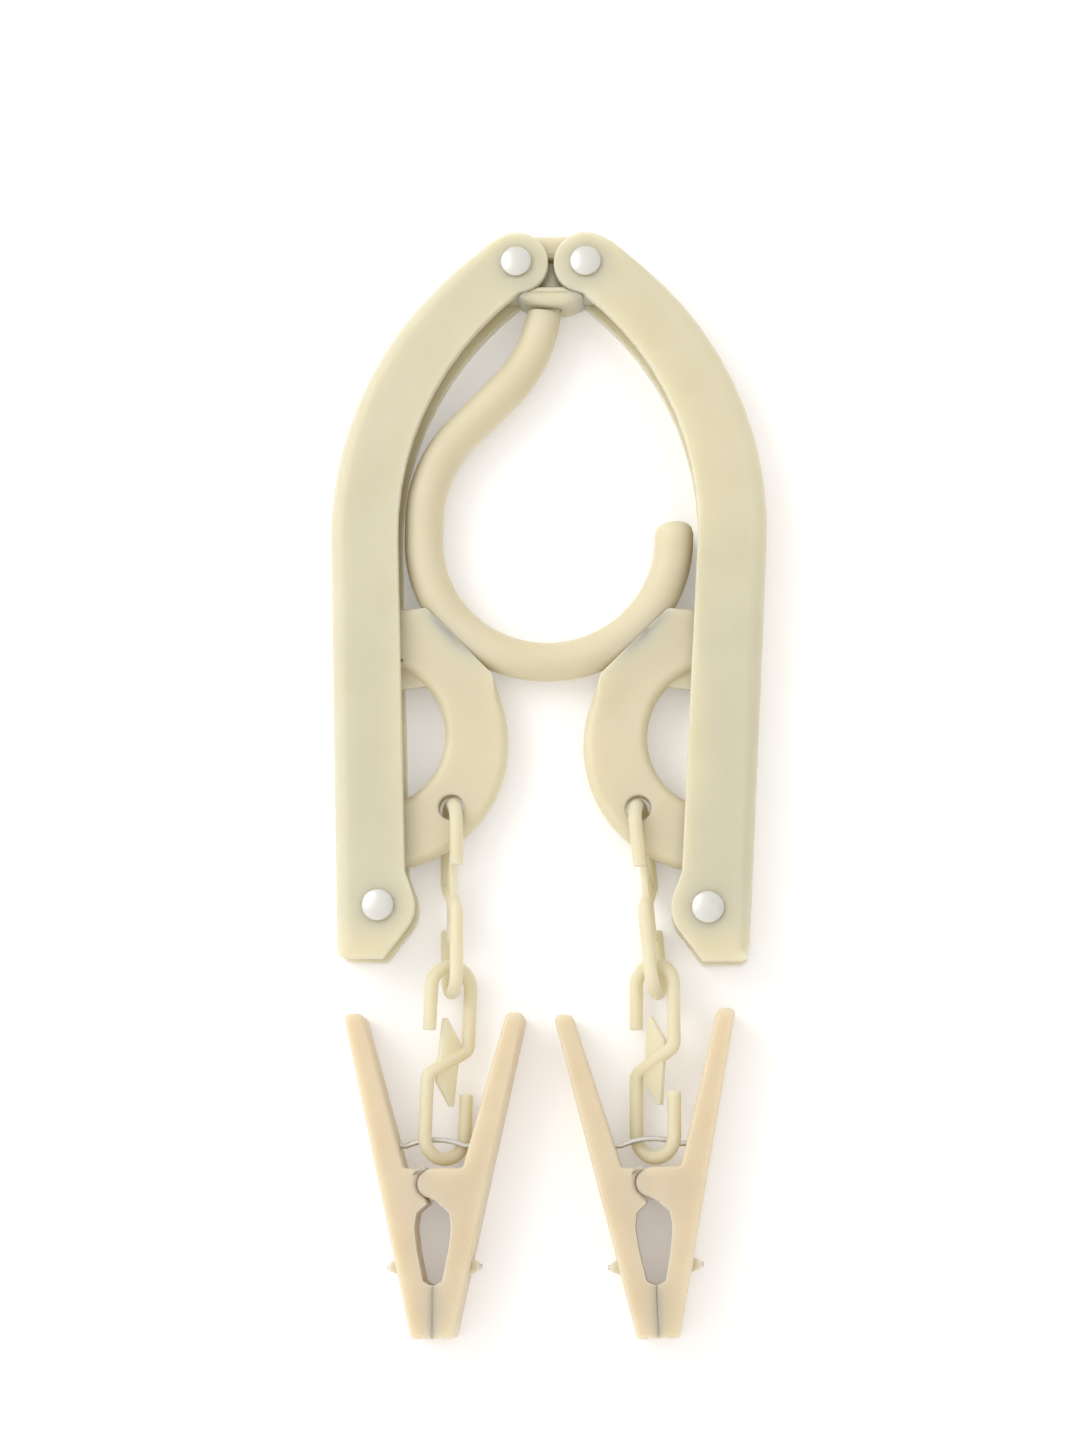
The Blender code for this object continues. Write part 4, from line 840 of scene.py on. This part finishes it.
web_top = -70.6
web_root = 2.6
web_half_thickness = 0.7 * millimetre
web = [flat(wall_edge(gusset_low, web_root), gusset_low), flat(wall_edge(web_top, web_root), web_top)]
web += [flat(20.2, web_top), flat(20.4, gusset_low + 0.9)]
gusset = slab(web, hook_z - web_half_thickness, hook_z + web_half_thickness)
clear = dict(hook_sizes)
clear.update({"Rod radius": 3.52 * millimetre, "Start radius": 3.2 * millimetre})
room = grown("room_for_hook", hook_path, round_rod, clear, cream)
seat = bmesh.new()
seat.from_mesh(room.data)
bpy.data.objects.remove(room, do_unlink=True)
hole_profile = [(0.0, -2.0 * hook_z), (hole_radius + hole_flare, -2.0 * hook_z)]
for inset, sunk in quarter_turn:
    rise = hole_flare * inset - (plate_high - hook_z)
    hole_profile.append((hole_radius + hole_flare * sunk, rise))
hole_profile += [(r, -z) for r, z in reversed(hole_profile)]
hole_middle = flat(elbow_x - 11.8, elbow_y + 17.3) + Vector((0.0, 0.0, hook_z))
hole = turned(hole_profile, hole_middle, Vector((0.0, 0.0, 1.0)), 40)
steps = [("DIFFERENCE", crescent_off), ("DIFFERENCE", gusset_off), ("UNION", crescent_plate())]
steps += [("UNION", gusset), ("DIFFERENCE", seat), ("DIFFERENCE", hole)]
forearm_edge = 0.06 * millimetre
right_forearm = moulding("right_forearm", "right_forearm", cream, forearm_edge, steps)

# The left forearm is the right one's mirror image
mirror_image = right_forearm.data.copy()
mirror_image.name = "left_forearm_moulding"
mirror_image.transform(Matrix.Scale(-1.0, 4, (1.0, 0.0, 0.0)))
mirror_image.flip_normals()
left_forearm = bpy.data.objects.new("left_forearm_moulding", mirror_image)
bpy.context.collection.objects.link(left_forearm)
finished(left_forearm, "left_forearm", "left_forearm", cream, forearm_edge)

# The chain links
# S-shaped links of moulded polypropylene rod, two to a side. Each loop has a springy barb across its mouth,
# which lets the next loop snap in and keeps it there.

link_rod = 1.15 * millimetre
link_half_width = 3.7 * millimetre
link_half_length = 16.15 * millimetre
cross_half_rise = 2.2 * millimetre
cross_bend = 1.7 * millimetre
free_end_rise = 5.2 * millimetre
link_step = 0.35 * millimetre
pin_rise = 0.7 * millimetre
barb_half_thickness = 0.6 * millimetre
barb_top = 7.4 * millimetre
barb_straight = 1.3 * millimetre
barb_tip = 0.6 * millimetre
barb_swell = 2.1 * millimetre
barb_swell_rise = 3.3 * millimetre
barb_round = 0.2 * millimetre

loop_centre = Vector((0.0, link_half_length - link_half_width, 0.0))
top_loop = arc(loop_centre, link_half_width, math.pi, 0.0, link_step)
half_link = [Vector((-link_half_width, free_end_rise, 0.0)), *top_loop]
upper_bend = Vector((link_half_width, cross_half_rise, 0.0))
half_link += rounded(upper_bend, top_loop[-1], -upper_bend, cross_bend, link_step)
link_line = half_link + [-p for p in reversed(half_link)]
link_sizes = {
    "Rod radius": link_rod,
    "Start radius": link_rod,
    "Taper length": 1.0 * millimetre,
    "Start round": 0.28 * millimetre,
    "End round": 0.28 * millimetre,
    "Rounds": 24,
}
link_line = with_close_ends(link_line, link_sizes["Start round"], link_sizes["End round"])

barb_side = [(-barb_straight, barb_top), (-barb_tip, barb_top), (barb_swell, barb_swell_rise)]
barb_corners = barb_side + [(-x, -y) for x, y in barb_side]

# Each link: its joint, how far its top end lies above that, its lean, and its turn about its own length
hangs = (
    ("left_upper_link", "left_upper_link_hang", pin_rise, 1.2, 107.0),
    ("left_lower_link", "left_lower_link_swing", 0.0, -1.3, 31.0),
    ("right_upper_link", "right_upper_link_hang", pin_rise, 6.2, 78.0),
    ("right_lower_link", "right_lower_link_swing", 0.0, 0.5, -31.0),
)
for name, joint, rise, tilt, spin in hangs:
    stand = Matrix.Translation(joint_places[joint]) @ Matrix.Rotation(math.radians(tilt), 4, "Z")
    stand = stand @ Matrix.Translation((0.0, rise - link_half_length, 0.0))
    stand = stand @ Matrix.Rotation(math.radians(spin), 4, "Y")
    link = grown(name + "_rod", [stand @ p for p in link_line], round_rod, link_sizes, cream)
    corners = [Vector((x, y, 0.0)) for x, y in barb_corners]
    barb = slab(corners, -barb_half_thickness, barb_half_thickness)
    bmesh.ops.bevel(barb, geom=barb.edges, offset=barb_round, segments=3, profile=0.5, affect="EDGES")
    bmesh.ops.recalc_face_normals(barb, faces=barb.faces)
    bmesh.ops.transform(barb, matrix=stand, verts=barb.verts)
    reshaped(link, [("UNION", barb)])
    link.data.set_sharp_from_angle(angle=crease)
    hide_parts(name)
    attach(link, name)

# The pegs
# Two moulded halves each, hinged by a round nose in a socket, with a tear-drop bay between them for a cord.
# They come from another mould and another batch, so their cream is more tan, and their satin is finer.

# Tan-cream polypropylene for the pegs: warmer than the arms, satin, with paler edges that are partly worn and
# partly a painted edge highlight.
peg_cream = moulded_plastic(
    "moulded_tan_cream_polypropylene", "#d9cab0", "#d3c3a7", "#eee0ca", 0.26 * millimetre
)
pivot_shift = 0.3
nose_radius = 2.4
jaw_drop = 25.2
mating_gap = 0.03
socket_reach = 2.75
socket_foot = -2.42
# The bay's corners: across, along, and the radius of the bend there
bay_line = ((0.2, -2.6, 0.3), (2.75, -4.8, 0.7), (3.1, -7.2, 4.0))
bay_line += ((2.6, -11.2, 7.0), (1.6, -15.9, 0.5), (0.6, -16.5, 0.3))
fill_end = jaw_drop + 0.15
fill_line = ((mating_gap, -3.2), (4.0, -3.2), (4.0, -12.0), (1.5, -fill_end), (mating_gap, -fill_end))
trim = jaw_drop - 0.015
trim_line = ((-1.0, -trim), (6.0, -trim), (6.0, -trim - 2.0), (-1.0, -trim - 2.0))
peg_tilts = (("left", 0.9), ("right", 2.8))


def peg_stand(side, tilt):
    """Where the middle of a peg lies, and how far it leans."""
    hinge = Matrix.Translation(joint_places[side + "_peg_jaw_open"])
    leaning = hinge @ Matrix.Rotation(math.radians(tilt), 4, "Z")
    return leaning @ Matrix.Translation((pivot_shift * millimetre, 0.0, 0.0))


def peg_slab(stand, corners, half, depth):
    """A slab through a peg from corners in millimetres; half is 1 for the nose half and -1 for the other."""
    return slab([stand @ Vector((x * half * millimetre, y * millimetre, 0.0)) for x, y in corners], *depth)


def bay_corners():
    """Half of the tear-drop bay: a blunt arch at the hinge, a waist, and a small flat foot."""
    spots = [Vector((x, y, 0.0)) for x, y, _ in bay_line]
    spots = [Vector((-0.5, -2.6, 0.0)), *spots, Vector((-0.5, -16.6, 0.0))]
    corners = [spots[0]]
    for before, spot, after, (_, _, bend) in zip(spots, spots[1:], spots[2:], bay_line):
        corners += rounded(spot, before, after, bend, 0.3)
    return [(p.x, p.y) for p in [*corners, spots[-1]]]


def fitted_socket(mesh, stand):
    """Brings the socket's round wall close to the nose, so that only a thin line shows between them."""
    pivot = stand @ Vector((-pivot_shift * millimetre, 0.0, 0.0))
    for vertex in mesh.vertices:
        away = Vector((vertex.co.x - pivot.x, vertex.co.y - pivot.y, 0.0))
        if away.length < socket_reach * millimetre and away.y > socket_foot * millimetre:
            away = away.normalized() * (nose_radius + 2.0 * mating_gap) * millimetre
            vertex.co.x = pivot.x + away.x
            vertex.co.y = pivot.y + away.y


for side, tilt in peg_tilts:
    stand = peg_stand(side, tilt)
    low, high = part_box(side + "_peg_nose_half")
    depth = (low[2], high[2])
    past = (low[2] - millimetre, high[2] + millimetre)
    bay = bay_corners()
    for half, body, hand in (("nose", "_peg", 1.0), ("socket", "_peg_jaw", -1.0)):
        steps = [("UNION", peg_slab(stand, fill_line, hand, depth))]
        steps += [("DIFFERENCE", peg_slab(stand, cut, hand, past)) for cut in (bay, trim_line)]
        name = f"{side}_peg_{half}_half"
        piece = moulding(name, side + body, peg_cream, edge_round, steps)
        if half == "socket":
            fitted_socket(piece.data, stand)

# The springs
# One hard-drawn steel wire closes each peg: it lies in the slots of both outer edges, arches across the
# saddle, and its ends are turned in through the lugs.

# Drawn spring steel, nickel washed: a grey-white metal, dulled in patches like the rivets' plate.
wire_steel = plated_metal("drawn_spring_wire", "#e2dfda", "#cbc7c0", 0.26, 0.38, 0.10 * millimetre)

wire_radius = 0.45 * millimetre
groove = 0.85 * millimetre
saddle_half = 4.9 * millimetre
lug_drop = 13.6 * millimetre
lug_height = 1.4 * millimetre
crossing_rise = 6.3 * millimetre
arch_rise = 7.3 * millimetre
bend_radius = 1.2 * millimetre
wire_step = 0.25 * millimetre
handle_rise = 28.2 * millimetre
handle_outer = 15.3 * millimetre
jaw_half = 3.5 * millimetre
wire_end = 0.5 * millimetre


def outer_half_width(rise):
    """Half the peg's width between its straight outer edges."""
    drop = jaw_drop * millimetre
    return jaw_half + (handle_outer - jaw_half) * (rise + drop) / (handle_rise + drop)


end = Vector((outer_half_width(-lug_drop) + lug_height + wire_end, -lug_drop, 0.0))
foot = Vector((outer_half_width(-lug_drop) - groove, -lug_drop, 0.0))
knee = Vector((outer_half_width(crossing_rise) - groove, crossing_rise, 0.0))
inner = Vector((saddle_half, crossing_rise, 0.0))
arch_sag = arch_rise - crossing_rise
arch_radius = (saddle_half**2 + arch_sag**2) / (2.0 * arch_sag)
arch_centre = Vector((0.0, arch_rise - arch_radius, 0.0))
sweep = math.asin(saddle_half / arch_radius)
right_run = [end, *rounded(foot, end, knee, bend_radius / 2.0, wire_step)]
right_run += rounded(knee, foot, inner, bend_radius, wire_step)
left_run = [Vector((-p.x, p.y, 0.0)) for p in reversed(right_run)]
arch = arc(arch_centre, arch_radius, math.pi / 2.0 - sweep, math.pi / 2.0 + sweep, wire_step)
wire_line = right_run + arch + left_run
wire_sizes = {
    "Rod radius": wire_radius,
    "Start radius": wire_radius,
    "Taper length": 1.0 * millimetre,
    "Start round": 0.12 * millimetre,
    "End round": 0.12 * millimetre,
    "Rounds": 20,
}
wire_line = with_close_ends(wire_line, wire_sizes["Start round"], wire_sizes["End round"])
for side, tilt in peg_tilts:
    stand = peg_stand(side, tilt)
    spring = grown(side + "_spring_wire", [stand @ p for p in wire_line], round_rod, wire_sizes, wire_steel)
    spring.data.set_sharp_from_angle(angle=math.radians(60.0))
    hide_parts(side + "_peg_spring")
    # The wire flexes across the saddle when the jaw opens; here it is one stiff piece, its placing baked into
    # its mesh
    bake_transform(spring)
